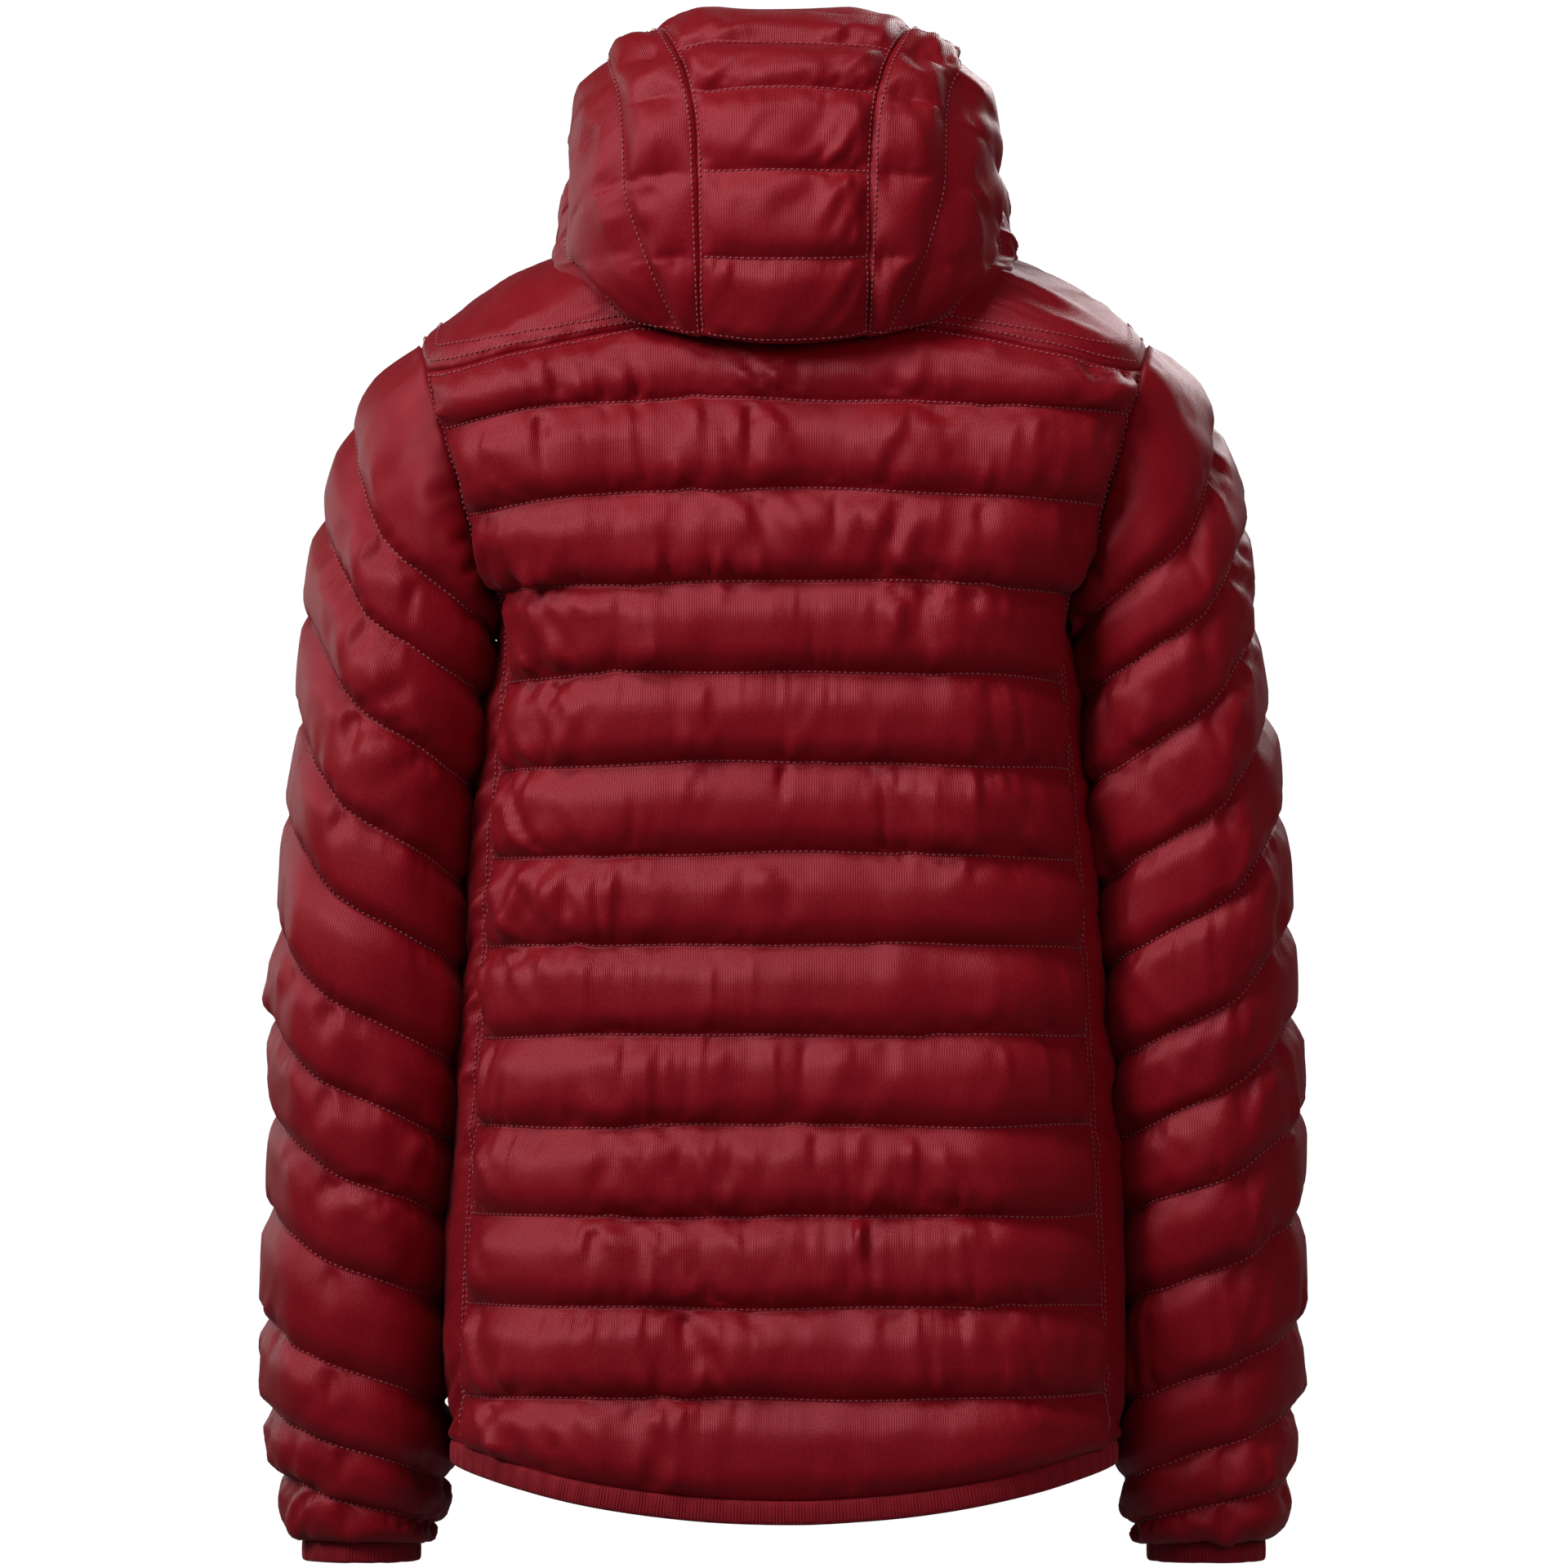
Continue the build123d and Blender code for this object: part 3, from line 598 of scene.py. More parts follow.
def share_at_angle(z, degrees):
    """Share in a plan direction: 0 is the back, 180 the front."""
    return share_where(z, -degrees, lambda p: -np.degrees(np.arctan2(p[:, 0], p[:, 1] + 13)))


def armhole():
    """The edge of the armhole on the body: the front half and the back half, from top to armpit."""
    front, back = [], []
    for z in np.linspace(*ARM_HEIGHTS, 335):
        p = on_body(np.full(len(SHARES), z), SHARES)[:, 0]
        beyond = np.nonzero(p > arm_x(z) - INSET)[0]
        if len(beyond):
            front.append((z, SHARES[beyond[0]]))
            back.append((z, SHARES[beyond[-1]]))
    halves = [np.array(side[::-1]) for side in (front, back)]
    ends = (halves[0][[0, -1]] + halves[1][[0, -1]]) / 2
    return [np.concatenate([ends[:1], half, ends[1:]]) for half in halves]


ARM_FRONT, ARM_BACK = armhole()


def arm_share(z, edge):
    """Share of the armhole's edge at height z."""
    return np.interp(z, edge[1:-1][::-1, 0], edge[1:-1][::-1, 1])


def seam_share(z, side):
    """Share of the side panel's seam, which joins the armhole's edge higher up."""
    y, edge = (SIDE_FRONT_Y, ARM_FRONT) if side < 0 else (SIDE_BACK_Y, ARM_BACK)
    plain = share_at_y(z, y)
    arm = arm_share(z, edge)
    inside = (z > edge[-1, 0]) & (z < edge[0, 0])
    best = np.minimum(plain, arm) if side < 0 else np.maximum(plain, arm)
    return np.where(inside, best, plain)


def along_armhole(edge, share):
    """Points at shares of the length of one half of the armhole's edge."""
    p = on_body(edge[:, 0], edge[:, 1])
    s = run_length(p)
    return at_lengths(share * s[-1], s, p)


LINES = [-69.6 - 50.8 * k for k in range(12)]
HEM_RADIUS = (190.0**2 + 31.0**2) / (2 * 31.0)
BINDING = 12.0


def hem_z(x, lift=BINDING):
    """Height of the hem's arc at x, or of a line above it."""
    return HEM_Z + lift + HEM_RADIUS - np.sqrt(HEM_RADIUS**2 - np.minimum(np.abs(x), 190) ** 2)


HEM_X = BODY[level_of(np.array(FOOT_Z))][:, 0]


def hem_at(h, lift=BINDING):
    return hem_z(np.interp(h, SHARES, HEM_X), lift)


def rows_between(curves, count=PER_CHANNEL):
    """Grid rows between control curves given from top to bottom."""
    rows = []
    for a, b in zip(curves, curves[1:]):
        rows += [a + (b - a) * (k / count - CROWD * math.sin(2 * math.pi * k / count)) for k in range(count)]
    rows.append(curves[-1])
    return np.array(rows)


def wavy(k, u, size=1.1):
    """Small wander of a sewn line, with a short jog here and there."""
    jog = np.exp(-(((u - 0.62 * np.sin(2.3 * k + 0.4)) / 0.035) ** 2))
    jog = jog - 0.8 * np.exp(-(((u + 0.55 * np.cos(1.9 * k)) / 0.05) ** 2))
    return size * (np.sin(5.3 * u + 1.7 * k) * 0.6 + np.sin(11.0 * u + 2.9 * k) * 0.4 + 1.1 * jog)


def padded_panel(name, base, centre, body, replaced, rows=(), cols=(), thick=10.0, extra=(), wrap=False,
                 fill=0.5, slot="shell", mats=CLOTH, **how):
    """Quilts a base grid, closes it, sews it and puts it on its body; extra lists more sewn lines."""
    nrm = normals(base)
    sign = 1.0 if np.mean(dot(nrm, base - np.array(centre))) > 0 else -1.0
    outer, nrm, base = quilt(base, sign, rows=rows, cols=cols, **how)
    lines = [(outer[r], nrm[r]) for r in rows] + [(outer[:, c], nrm[:, c]) for c in cols]
    lines += [(outer[r], nrm[r]) if kind == "row" else (outer[:, r], nrm[:, r]) for kind, r in extra]
    ob = panel(name, outer, base, nrm, thick, mats, lines, wrap=wrap, flip=sign < 0)
    if body:
        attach(ob, body)
    if replaced:
        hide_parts(*replaced)
    return ob


STITCHED = [PER_CHANNEL * k for k in range(1, 13)]
INSIDE = (0.0, -10.0, -330.0)  # a point inside the body, which tells a panel's outer side
BODY_QUILT = dict(rows=STITCHED, loft=8.0, gather=0.025, rumple=1.4, puckers=1.7, creased=1.2)


def back_yoke_z(x):
    return -28 - 25 * smooth01((np.abs(x) - 60) / 135)


def back_panel():
    u = np.linspace(-1, 1, 172)
    curves = [back_yoke_z(u * 198)]
    for k, z in enumerate(LINES):
        bow = 9 * max(0, 1 - k / 9)
        curves.append(z - bow * u**2 - (6 if k < 2 else 0) * smooth01((u - 0.6) / 0.4) + wavy(k, u))
    curves.append(hem_at(1 - np.abs(u) * (1 - float(seam_share(FOOT_Z, 1)))))
    z = rows_between(curves)
    h = 1 - np.abs(u)[None, :] * (1 - seam_share(z, 1))
    base = on_body(z, h)
    base[..., 0] *= np.sign(u)[None, :]
    extra = [("row", 2), ("col", 1), ("col", -2)]
    raised = 2.0 * (1 - smooth01((np.abs(u) - 0.65) / 0.26))
    padded_panel("back_panel", base, INSIDE, "jacket", ["back_shell", "back_insulation", "body_lining"],
                 extra=extra, seed=11, lifts=[(0, raised)], **BODY_QUILT)


def front_top(u):
    """The top of a front panel: the collar seam from the zip, then the front yoke seam to the armhole."""
    return np.where(u < 0.36, -28 + 26 * smooth01(u / 0.36), -2 - 56 * smooth01((u - 0.36) / 0.64) ** 0.9)


def front_panels():
    u = np.linspace(0, 1, 82)
    for hand, sx in HANDS:
        curves = [front_top(u)]
        curves += [z - 5 * u**2 * max(0, 1 - k / 9) + wavy(k + 4 * sx, u) for k, z in enumerate(LINES)]
        curves.append(hem_at(u * float(seam_share(FOOT_Z, -1))))
        z = rows_between(curves)
        edge = share_of_x(z, ZIP_EDGE_X)
        h = edge + (seam_share(z, -1) - edge) * u[None, :]
        base = on_body(z, h)
        base[..., 0] *= sx
        dip = pocket_dip(base, hand)
        extra = [("row", 2), ("col", 1), ("col", 3), ("col", -2)]
        replaced = [f"{hand}_front_shell", f"{hand}_front_insulation"]
        padded_panel(f"{hand}_front_panel", base, INSIDE, "jacket", replaced, extra=extra, seed=21 + sx,
                     dip=dip, **BODY_QUILT)


def share_of_x(z, x):
    """Share of the way round where the front reaches x at height z."""
    first = np.array([np.interp(x, BODY[i, :100, 0], SHARES[:100]) for i in range(len(LEVELS))])
    return first[level_of(z)]


def box_mm(name):
    """The low and high corner of a CAD node's box."""
    return [np.array(c) * 1000 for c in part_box(name)]


def pocket_dip(base, hand):
    """How far the cloth is drawn in along the pocket zip, which lies in a slot with turned edges."""
    low, high = box_mm(f"{hand}_pocket_zip_teeth")
    middle = (low + high) / 2
    top = sum(box_mm(f"{hand}_pocket_zip_slider")) / 2
    lean = (top[0] - middle[0]) / (top[2] - middle[2])
    half = (high[2] - low[2]) / 2 + 12
    along_z = base[..., 2] - middle[2] - 4
    across = (base[..., 0] - middle[0] - lean * along_z) * 0.97
    d = np.maximum(np.abs(across) - 7.2, np.abs(along_z) - half)
    return 5.5 * smooth01(1 - d / 3.2) * (d < 3.2)


def side_panels():
    cols, rows = 37, 196
    for hand, sx in HANDS:
        u = np.linspace(0, 1, cols)
        lower = np.concatenate([ARM_FRONT[-70:], ARM_BACK[-70:][::-1]])
        order = np.argsort(lower[:, 1], kind="stable")
        a, b = [float(seam_share(FLANK_TOP_Z, side)) for side in (-1, 1)]
        top = np.interp(a + (b - a) * u, lower[order, 1], lower[order, 0])
        a, b = [seam_share(FOOT_Z, side) for side in (-1, 1)]
        bottom = hem_at(a + (b - a) * u)
        v = np.linspace(0, 1, rows)[:, None]
        z = top[None, :] * (1 - v) + bottom[None, :] * v
        a, b = seam_share(z, -1), seam_share(z, 1)
        base = on_body(z, a + (b - a) * u[None, :])
        base[..., 0] = sx * (base[..., 0] + 1.2 * np.sin(math.pi * u)[None, :])
        padded_panel(f"{hand}_flank_panel", base, INSIDE, "jacket", [f"{hand}_side_panel"],
                     extra=[("col", 1), ("col", -2)], loft=5.2, gather=0.02, droop=0.0, seed=31 + sx,
                     rumple=2.2)


NECK_Z = [(0, 17), (40, 20), (90, 26), (125, 8), (150, -12), (166, -25), (180, -28)]
YOKE_NECK_FRONT = 143.0
YOKE_TIPS = -53, -58  # heights where its back and front seams meet the armhole


def yoke():
    t = np.linspace(0, 1, 136)
    seam_t, arm_t = 0.46, 0.60
    low = np.empty((len(t), 2))
    for i, v in enumerate(t):
        if v <= seam_t:
            w = v / seam_t
            z = float(back_yoke_z(w * 198))
            low[i] = z, 1 - w * (1 - float(seam_share(z, 1)))
        elif v <= arm_t:
            w = (v - seam_t) / (arm_t - seam_t)
            low[i] = yoke_tip(w)
        else:
            w = 1 - (v - arm_t) / (1 - arm_t) * 0.64
            z = float(front_top(np.array(w)))
            edge = float(share_of_x(np.array(z), ZIP_EDGE_X))
            low[i] = z, edge + (float(seam_share(z, -1)) - edge) * w
    angle = YOKE_NECK_FRONT * t
    high_z = pchip(NECK_Z, angle)
    high = np.stack([high_z, share_at_angle(high_z, angle)], -1)
    v = np.linspace(0, 1, 31)[:, None, None]
    grid = high[None] * (1 - v) + low[None] * v
    half = on_body(grid[..., 0], grid[..., 1])
    base = np.concatenate([mirrored(half)[:, :0:-1], half], 1)
    replaced = [f"{hand}_yoke_{layer}" for hand in ("left", "right") for layer in ("shell", "insulation")]
    raised = 2.0 * (1 - smooth01((t - 0.30) / 0.12))
    raised = np.concatenate([raised[:0:-1], raised])
    extra = [("row", -3), ("row", -6), ("row", 1)]
    padded_panel("shoulder_yoke", base, (0, -10, -150), "jacket", replaced, extra=extra, loft=3.2, seed=41,
                 gather=0.03, rumple=2.0, droop=0.5, puckers=0.6, creased=0.5, lifts=[(-1, raised)])


def yoke_tip(w):
    """Round the top of the armhole, from the back yoke's seam over the shoulder to the front's."""
    back = ARM_BACK[ARM_BACK[:, 0] > YOKE_TIPS[0]]
    front = ARM_FRONT[ARM_FRONT[:, 0] > YOKE_TIPS[1]]
    path = np.concatenate([back[::-1], front])
    s = run_length(on_body(path[:, 0], path[:, 1]))
    return at_lengths(w * s[-1], s, path)


def collar():
    angle = np.linspace(-1, 1, 172)
    front = 180 - math.degrees(math.atan2(ZIP_EDGE_X, 80))
    a = np.abs(angle) * front
    low = pchip(NECK_Z, a)
    high = 65 - 7 * smooth01((a - 100) / 80)
    z = rows_between([high, (low + high) / 2 + wavy(1, angle, 0.6), low])
    h = share_at_angle(z, np.broadcast_to(a, z.shape))
    base = on_body(z, h)
    base[..., 0] *= np.sign(angle)[None, :]
    padded_panel("collar", base, (0, -13, 20), "jacket", ["collar_shell", "collar_insulation"],
                 rows=[PER_CHANNEL], extra=[("row", 2)], loft=5.0, gather=0.04, seed=51, rumple=1.0)


# -------- sleeves
SECTIONS = [  # inner and outer point (x, z), half depth, y of the middle
    ((163.6, -203), (230.5, -60), 73.5, 0), ((164.5, -206), (242, -84), 73, 0),
    ((165.5, -218), (262, -150), 73, 1), ((167.5, -240), (272, -236), 70, 2),
    ((176.5, -320), (283, -320), 65, 3), ((180.5, -386), (287, -386), 62, 4),
    ((184.5, -452), (290, -452), 60, 0), ((191.5, -600), (293, -600), 56, -12),
    ((193.5, -667), (288, -667), 50, -18), ((197.5, -700), (284, -700), 44, -21),
    ((203.5, -714), (277, -714), 36, -22),
]
OUTER_NOTCH = [-80.6, -133.5, -186.4, -243.9, -296.8, -361, -414, -469, -524, -586.6, -637, -676]
NOTCH_DROP = [124, 106, 104, 100, 95, 84, 75, 62, 56, 50, 42, 28]
SPLIT = 4  # the notch where the sleeve's two pieces meet


def notch_kink(k):
    """The angle from the outer edge where a sewn line bends."""
    return 66 + 14 * float(smooth01((k - 6) / 5))


def notch_shape(a, k):
    """How far a sewn line has dropped at angle a from the outer edge: steep to a kink, then shallow."""
    kink = notch_kink(k)
    a = np.abs(a)
    steep = 0.52 * (a / kink) ** 1.2
    shallow = 0.52 + 0.48 * (1 - (1 - np.clip((a - kink) / (180 - kink), 0, 1)) ** 1.5)
    return np.where(a < kink, steep, shallow)


def sleeve_surface(angles):
    """Columns of section points, one for each angle from the outer edge, with positive angles at the back."""
    share = np.abs(angles) / 180
    rows = [np.where((angles > 0)[:, None], along_armhole(ARM_BACK, share), along_armhole(ARM_FRONT, share))]
    a = np.radians(angles)
    power = 2 / 2.2
    for inner, outer, depth, y in SECTIONS:
        inner, outer = np.array(inner, float), np.array(outer, float)
        mid, half = (inner + outer) / 2, (outer - inner) / 2
        half = half * (1 - (INSET - 1.1) / np.hypot(*half))
        mid = mid - (1.1, 0)
        c = np.sign(np.cos(a)) * np.abs(np.cos(a)) ** power
        s = np.sign(np.sin(a)) * np.abs(np.sin(a)) ** power
        xz = mid[None] + half[None] * c[:, None]
        rows.append(np.stack([xz[:, 0], y + (depth - INSET) * s, xz[:, 1]], -1))
    return np.array(rows)


def on_sleeve(surface, z):
    out = np.empty(z.shape + (3,))
    out[..., 2] = z
    for c in range(z.shape[1]):
        zs = surface[::-1, c, 2]
        for k in (0, 1):
            out[:, c, k] = pchip(np.stack([zs, surface[::-1, c, k]], -1), z[:, c])
    return out


CUFF_Z = -714.0


LAYERS = "shell", "insulation", "lining"


def sleeves():
    angles = (np.linspace(-140, 220, 154) + 180) % 360 - 180  # the seam is in front of the underarm
    surface = sleeve_surface(angles)
    lines = []
    for k, (z0, drop) in enumerate(zip(OUTER_NOTCH, NOTCH_DROP)):
        lines.append(z0 - drop * notch_shape(angles, k) + wavy(k, 2 * np.sin(np.radians(angles)), 0.8))
        lines[-1][-1] = lines[-1][0]
    cuff = np.full(len(angles), CUFF_Z)
    parts = {
        "upper_sleeve": [surface[0, :, 2]] + lines[: SPLIT + 1],
        "lower_sleeve": lines[SPLIT:] + [cuff],
    }
    for hand, sx in HANDS:
        for part, curves in parts.items():
            z = rows_between(curves)
            base = on_sleeve(surface, z)
            base[..., 0] *= sx
            upper = part == "upper_sleeve"
            gone = [] if upper else [f"{hand}_elbow_section"]
            gone += [f"{hand}_{'upper_sleeve' if upper else 'forearm'}_{layer}" for layer in LAYERS]
            stitched = [PER_CHANNEL * k for k in range(1, len(curves) - 1)]
            lifts = [(0, 2.5 * smooth01(np.cos(np.radians(angles))))] if upper else []
            if not upper:
                stitched = [0] + stitched
            notches = range(SPLIT) if upper else range(SPLIT + 1, len(OUTER_NOTCH))
            first = -1 if upper else SPLIT
            pinch = [
                (PER_CHANNEL * (k - first), int(np.argmin(np.abs(angles - a))), 1.0, 0.4)
                for k in notches
                for a in (notch_kink(k), -notch_kink(k))
            ]
            ob = padded_panel(f"{hand}_{part}", base, (231 * sx, 0, -380), None, gone, rows=stitched,
                              wrap=True, loft=5.8, gather=0.035, pinch=pinch, seed=61 + sx + 4 * upper,
                              rumple=2.6, droop=2.0, lifts=lifts)
            if upper:
                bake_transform(ob)
            else:
                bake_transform(ob)


# -------- hood
CROWN = [  # share of the way from the fold to the brim, y and z on the middle line
    (0, 118, -41), (0.13, 130, 10), (0.28, 124, 70), (0.43, 100, 122), (0.57, 55, 150), (0.70, 0, 152),
    (0.85, -60, 138), (1, -110, 113),
]
SIDE_EDGE = [(0, 25, 9), (0.3, 6, 8), (0.6, -15, 10), (1, -57, 20)]
HOOD_WIDTH = [(0, 129), (0.3, 126), (0.6, 121), (0.8, 112), (1, 98)]
HOOD_POWER = [(0, 1.9), (0.15, 2.5), (0.35, 3.0), (0.6, 3.3), (1, 2.9)]
CENTRE_WIDTH = [(0, 48), (0.3, 50), (0.42, 57), (0.52, 68), (0.62, 76), (1, 66)]
HOOD_LINES = [0, 0.125, 0.25, 0.375, 0.47, 0.58, 0.70, 0.84, 1.0]
HOOD_SEAMS = [("col", 1), ("col", -2), ("row", 2), ("row", -3)]


def column(table, k):
    return [(row[0], row[k]) for row in table]


def on_hood(s, degrees, inset=0.0):
    """Hood surface: arches over the head, from the fold behind (s 0) to the brim (s 1)."""
    a = np.radians(degrees)
    power = 2 / pchip(HOOD_POWER, s)
    side = np.sign(a) * np.abs(np.sin(a)) ** power
    up = np.abs(np.cos(a)) ** power
    w = pchip(HOOD_WIDTH, s) - inset
    y0, z0 = pchip(column(CROWN, 1), s), pchip(column(CROWN, 2), s)
    y1, z1 = pchip(column(SIDE_EDGE, 1), s), pchip(column(SIDE_EDGE, 2), s)
    reach = np.hypot(y0 - y1, z0 - z1)
    keep = 1 - inset / reach
    return np.stack([w * side, y1 + (y0 - y1) * keep * up, z1 + (z0 - z1) * keep * up], -1)


def centre_angle(s):
    share = pchip(CENTRE_WIDTH, s) / pchip(HOOD_WIDTH, s)
    return np.degrees(np.arcsin(share ** (pchip(HOOD_POWER, s) / 2)))


def hood():
    s_rows = rows_between([np.array([v]) for v in HOOD_LINES])[:, 0]
    stitched = [PER_CHANNEL * k for k in range(1, len(HOOD_LINES) - 1)]
    inside = (0, 20, 30)
    edge = centre_angle(s_rows)
    u = np.linspace(-1, 1, 46)
    s = np.broadcast_to(s_rows[:, None], (len(s_rows), len(u)))
    base = on_hood(s + 0.004 * (u**2)[None, :] * (1 - s), edge[:, None] * u[None, :], INSET)
    replaced = ["hood_center_panel", "hood_insulation", "hood_lining"]
    padded_panel("hood_centre", base, inside, "hood", replaced, rows=stitched, extra=HOOD_SEAMS, loft=4.8,
                 gather=0.02, seed=71, rumple=2.2)
    first = pchip([(0, 0.08), (0.05, 0.14), (0.185, 0.265), (0.27, 0.31), (1, 0.30)], s_rows)
    second = pchip([(0, 0.36), (0.07, 0.51), (0.105, 0.64), (0.2, 0.80), (1, 0.80)], s_rows)
    marks = [0 * s_rows, first, second, 0 * s_rows + 1]
    share = []
    for low, high, count in zip(marks, marks[1:], (15, 24, 15)):
        share += [low + (high - low) * k / count for k in range(count)]
    share = np.stack(share + [marks[-1]], -1)
    pinch = [(r, 1, 0.35, 1.6) for r in stitched]
    for hand, sx in HANDS:
        s = np.broadcast_to(s_rows[:, None], share.shape)
        angle = edge[:, None] + (90 - edge[:, None]) * share
        base = on_hood(s, angle, INSET - 1.2 * smooth01((s - 0.3) / 0.2))
        base[..., 0] *= sx
        padded_panel(f"hood_{hand}_side", base, inside, "hood", [f"hood_{hand}_panel"], cols=[15, 39],
                     extra=HOOD_SEAMS, loft=5.0, gather=0.02, seed=75 + sx, rumple=3.0, pinch=pinch)


def hood_gusset():
    """The cloth under the fold of the hood, from the back of the neck to the fold."""
    u = np.linspace(-1, 1, 100)
    fold = on_hood(np.zeros(100), 88 * u, INSET + 3)
    neck_angle = np.abs(u) * 96
    neck_z = pchip(NECK_Z, neck_angle) + 5
    neck = on_body(neck_z, share_at_angle(neck_z, neck_angle))
    neck[:, 0] *= np.sign(u)
    neck[:, :2] *= 1.06
    v = np.linspace(0, 1, 31)[:, None, None]
    base = fold[None] * v + neck[None] * (1 - v)
    base[..., 2] += 7 * np.sin(math.pi * v[..., 0])
    ob = padded_panel("hood_gusset", base, (0, 60, 60), None, [], thick=4.0, loft=2.0, gather=0.02, seed=81,
                      rumple=1.0)
    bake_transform(ob)


# -------- bindings
def band(name, path, out, height, thick, mat, body, node_name, closed=False, pitch=1.9, rib=0.3):
    """A strip of ribbed elastic along a path; out points away from the body."""
    if closed:
        path, out = np.concatenate([path, path[:1]]), np.concatenate([out, out[:1]])
    s = run_length(path)
    at = np.linspace(0, s[-1], int(s[-1] / (pitch / 4)))
    p, o = at_lengths(at, s, path), unit(at_lengths(at, s, out))
    along = unit(np.gradient(p, axis=0))
    if closed:
        along[0] = along[-1] = unit(p[1] - p[-2])
    up = np.cross(along, o)
    angle = np.linspace(0, 2 * math.pi, 17)[:-1]
    px = np.sign(np.cos(angle)) * np.abs(np.cos(angle)) ** 0.6
    py = np.sign(np.sin(angle)) * np.abs(np.sin(angle)) ** 0.45
    ribs = rib * np.cos(2 * math.pi * at / pitch)
    gen = np.random.default_rng(len(name))
    slow = np.interp(at, np.linspace(0, s[-1], 40), gen.uniform(-0.35, 0.35, 40))
    wide = thick / 2 + ribs + slow * 0.6
    outward = o[:, None] * (wide[:, None] * px[None])[..., None]
    upward = up[:, None] * (height / 2 * py[None] + slow[:, None] * 0.5)[..., None]
    grid = p[:, None] + outward + upward
    if closed:
        grid = grid[:-1]
    n, m = grid.shape[:2]
    verts = grid.reshape(-1, 3)
    r = np.arange(n if closed else n - 1)[:, None]
    c = np.arange(m)[None, :]
    r2, c2 = (r + 1) % n, (c + 1) % m
    quads = np.stack([r * m + c, r2 * m + c, r2 * m + c2, r * m + c2], -1).reshape(-1, 4)
    faces = [quads]
    if not closed:
        for row, way in ((0, 1), (n - 1, -1)):
            verts = np.concatenate([verts, grid[row].mean(0)[None]])
            fan = [(row * m + k, row * m + (k + 1) % m, len(verts) - 1) for k in range(m)]
            faces.append(np.array(fan)[:, ::way])
    uv = np.zeros((len(verts), 2))
    flat = np.stack(np.broadcast_arrays(at[:n, None], (py * height / 2)[None]), -1)
    uv[: n * m] = flat.reshape(-1, 2) * 0.001
    ob = build(name, verts, faces, [mat], None, uv)
    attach(ob, body)
    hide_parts(node_name)
    return ob


def bindings():
    h = np.linspace(float(share_of_x(np.array(FOOT_Z), ZIP_EDGE_X)), 1, 300)
    z = hem_at(h, BINDING / 2)
    half = on_body(z, h)
    flat = np.gradient(half, axis=0)
    out = unit(np.stack([flat[:, 1], -flat[:, 0], np.zeros(len(h))], -1))
    path = np.concatenate([half, mirrored(half)[-2::-1]])
    outs = np.concatenate([out, mirrored(out)[-2::-1]])
    band("hem_elastic", path, outs, BINDING + 1.5, 6.5, ELASTIC, "jacket", "hem_binding")
    a = np.linspace(0, 2 * math.pi, 120, endpoint=False)
    for hand, sx in HANDS:
        out = np.stack([np.cos(a), np.sin(a), 0 * a], -1)
        ring = np.array([240.0 * sx, -22, CUFF_Z - 5.8]) + out * (31.0, 30.0, 0)
        band(f"{hand}_cuff_elastic", ring, out, 13.0, 5.5, ELASTIC, f"{hand}_forearm", f"{hand}_cuff_binding",
             closed=True)
    u = np.linspace(-89, 89, 240)
    brim = on_hood(np.ones(240), u, INSET)
    behind = on_hood(np.full(240, 0.97), u, INSET)
    ahead = unit(brim - behind)
    along = unit(np.gradient(brim, axis=0))
    out = unit(np.cross(ahead, along))
    band("hood_brim_elastic", brim + ahead * 2.0, out, 11.0, 6.0, ELASTIC, "hood", "hood_binding")


# -------- inside and zips
def inside_pieces():
    for hand, sx in HANDS:
        low, high = box_mm(f"{hand}_pocket_bag")
        near, far = sorted([abs(low[0]), abs(high[0])])
        x = np.linspace(near + 2, far - 2, 43)
        z = np.linspace(high[2] - 2, low[2] + 2, 85)
        zz, xx = np.meshgrid(z, x, indexing="ij")
        base = np.stack([xx * sx, front_y(zz) + 16.2 + 0 * xx, zz], -1)
        bend = pchip([(0, 0), (95, 0), (112, 1.5), (130, 6), (140, 11)], np.abs(xx))
        base[..., 1] += bend
        extra = [("row", 2), ("row", -3), ("col", 2), ("col", -3)]
        padded_panel(f"{hand}_pocket_pouch", base, (xx.mean() * sx, -400, -480), "jacket",
                     [f"{hand}_pocket_bag"], thick=1.2, extra=extra, loft=2.2, gather=0.03, seed=91 + sx,
                     slot="lining", mats=[LINING, LINING, THREAD], fill=0.1, rumple=0.8)
    low, high = box_mm("storm_flap")
    z = np.linspace(high[2] - 1, float(hem_z(0.0, 4.0)), 241)
    x = np.linspace(low[0] + 1, high[0] - 1, 16)
    zz, xx = np.meshgrid(z, x, indexing="ij")
    deep = low[1] - front_y(low[2])
    base = np.stack([xx, front_y(zz) + deep + 1.6, zz], -1)
    padded_panel("storm_guard", base, (0, 0, zz.mean()), "jacket", ["storm_flap"], thick=1.5, cols=[4, 11],
                 extra=[("col", 1), ("col", -2)], loft=1.2, gather=0.02, seed=95, fill=0.2, rumple=0.3)


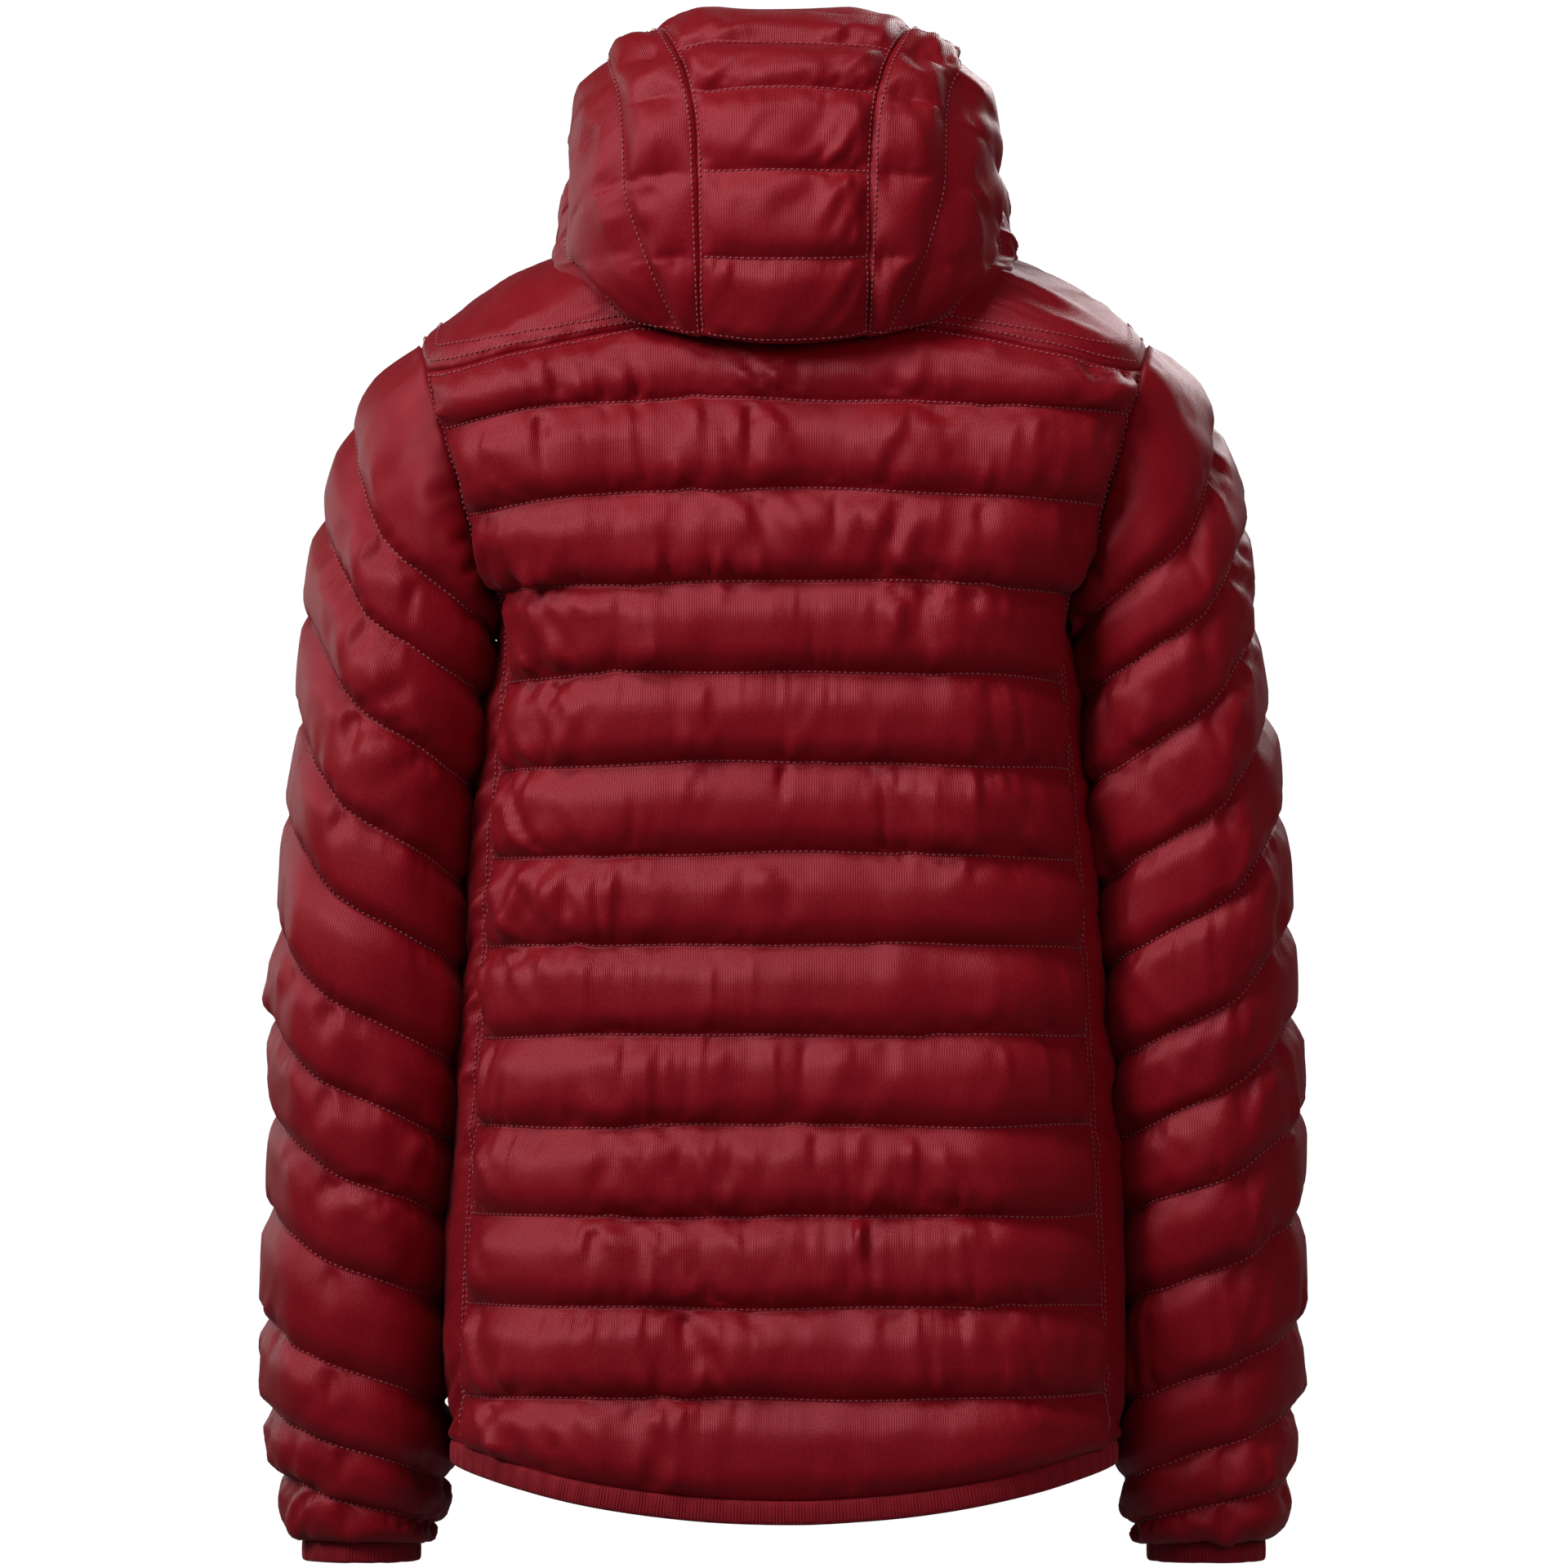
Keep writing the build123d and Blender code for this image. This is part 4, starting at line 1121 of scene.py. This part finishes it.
def plain_materials():
    """Finishes for the CAD nodes that stay as they are."""
    teeth, t, b = material("moulded_teeth", (0.060, 0.006, 0.011), 0.34, Coat_Weight=0.15)
    grain = node(t, "ShaderNodeTexNoise", Scale=900.0, Detail=2.0)
    bumped(t, b, grain.outputs["Fac"], 0.15, 0.0002)
    metal, t, b = material("painted_metal", (0.073, 0.003, 0.006), 0.34, 0.3)
    wear = node(t, "ShaderNodeTexNoise", Scale=260.0, Detail=4.0, Roughness=0.6)
    rough_over(t, b, wear.outputs["Fac"], 0.24, 0.46)
    worn = mixed(t, wear.outputs["Fac"], (0.055, 0.0024, 0.0045), (0.092, 0.004, 0.0075))
    t.links.new(worn, b.inputs["Base Color"])
    finish = {"tape": TAPE, "teeth": teeth, "retainer": teeth, "stops": teeth, "garage": teeth,
              "slider": metal, "pull": metal, "loop": TAPE}
    for name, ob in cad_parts.items():
        looks = [look for word, look in finish.items() if word in name]
        if looks:
            ob.data.materials.clear()
            ob.data.materials.append(looks[0])


# -------- stage
def stage():
    world = bpy.data.worlds.new("studio")
    bpy.context.scene.world = world
    world.use_nodes = True
    t = world.node_tree
    bg = t.nodes["Background"]
    bg.inputs["Color"].default_value = (1, 1, 1, 1)
    path = node(t, "ShaderNodeLightPath")
    shine = maths(t, "MULTIPLY_ADD", path.outputs["Is Glossy Ray"], -0.17, 0.26)
    seen = maths(t, "MULTIPLY_ADD", path.outputs["Is Camera Ray"], 0.78, shine)
    t.links.new(seen, bg.inputs["Strength"])

    def area(name, at, towards, size, power, glossy=True):
        data = bpy.data.lights.new(name, "AREA")
        data.shape, data.size, data.energy = "DISK", size, power
        ob = bpy.data.objects.new(name, data)
        bpy.context.scene.collection.objects.link(ob)
        ob.location = at
        ob.rotation_euler = (Vector(towards) - Vector(at)).to_track_quat("-Z", "Y").to_euler()
        ob.visible_glossy = glossy

    area("key", (2.3, 1.9, 1.35), (0, 0, -0.3), 1.3, 108)
    area("top", (0.9, 1.3, 2.2), (0, 0, -0.2), 0.9, 50)
    area("fill", (-1.9, 2.6, 0.7), (0, 0, -0.3), 1.4, 40, glossy=False)
    area("front_key", (-1.5, -2.6, 1.4), (0, 0, -0.3), 1.3, 52)
    area("front_fill", (2.2, -2.0, 0.2), (0, 0, -0.3), 1.3, 12)

    n, radius, level = 64, 620, -790
    turns = [2 * math.pi * k / n for k in range(n)]
    verts = np.array([(0, 0, level)] + [(radius * math.cos(a), radius * math.sin(a), level) for a in turns])
    tris = np.array([(0, 1 + k, 1 + (k + 1) % n) for k in range(n)])
    pale = material("pale_floor", (0.86, 0.86, 0.86), 0.8)[0]
    floor = build("floor", verts, [tris], [pale], smooth=False)
    floor.visible_glossy = floor.visible_diffuse = False

    cam = bpy.data.cameras.new("camera")
    distance, width = 7.5, 0.883
    cam.sensor_width = 36
    cam.lens = 36 * distance / width
    ob = bpy.data.objects.new("camera", cam)
    bpy.context.scene.collection.objects.link(ob)
    ob.location = (0, distance + 0.05, -0.285)
    ob.rotation_euler = (math.pi / 2, 0, math.pi)
    bpy.context.scene.camera = ob
    bpy.context.scene.view_settings.view_transform = "Standard"


stage()
plain_materials()
back_panel()
front_panels()
side_panels()
yoke()
collar()
sleeves()
hood()
hood_gusset()
bindings()
inside_pieces()
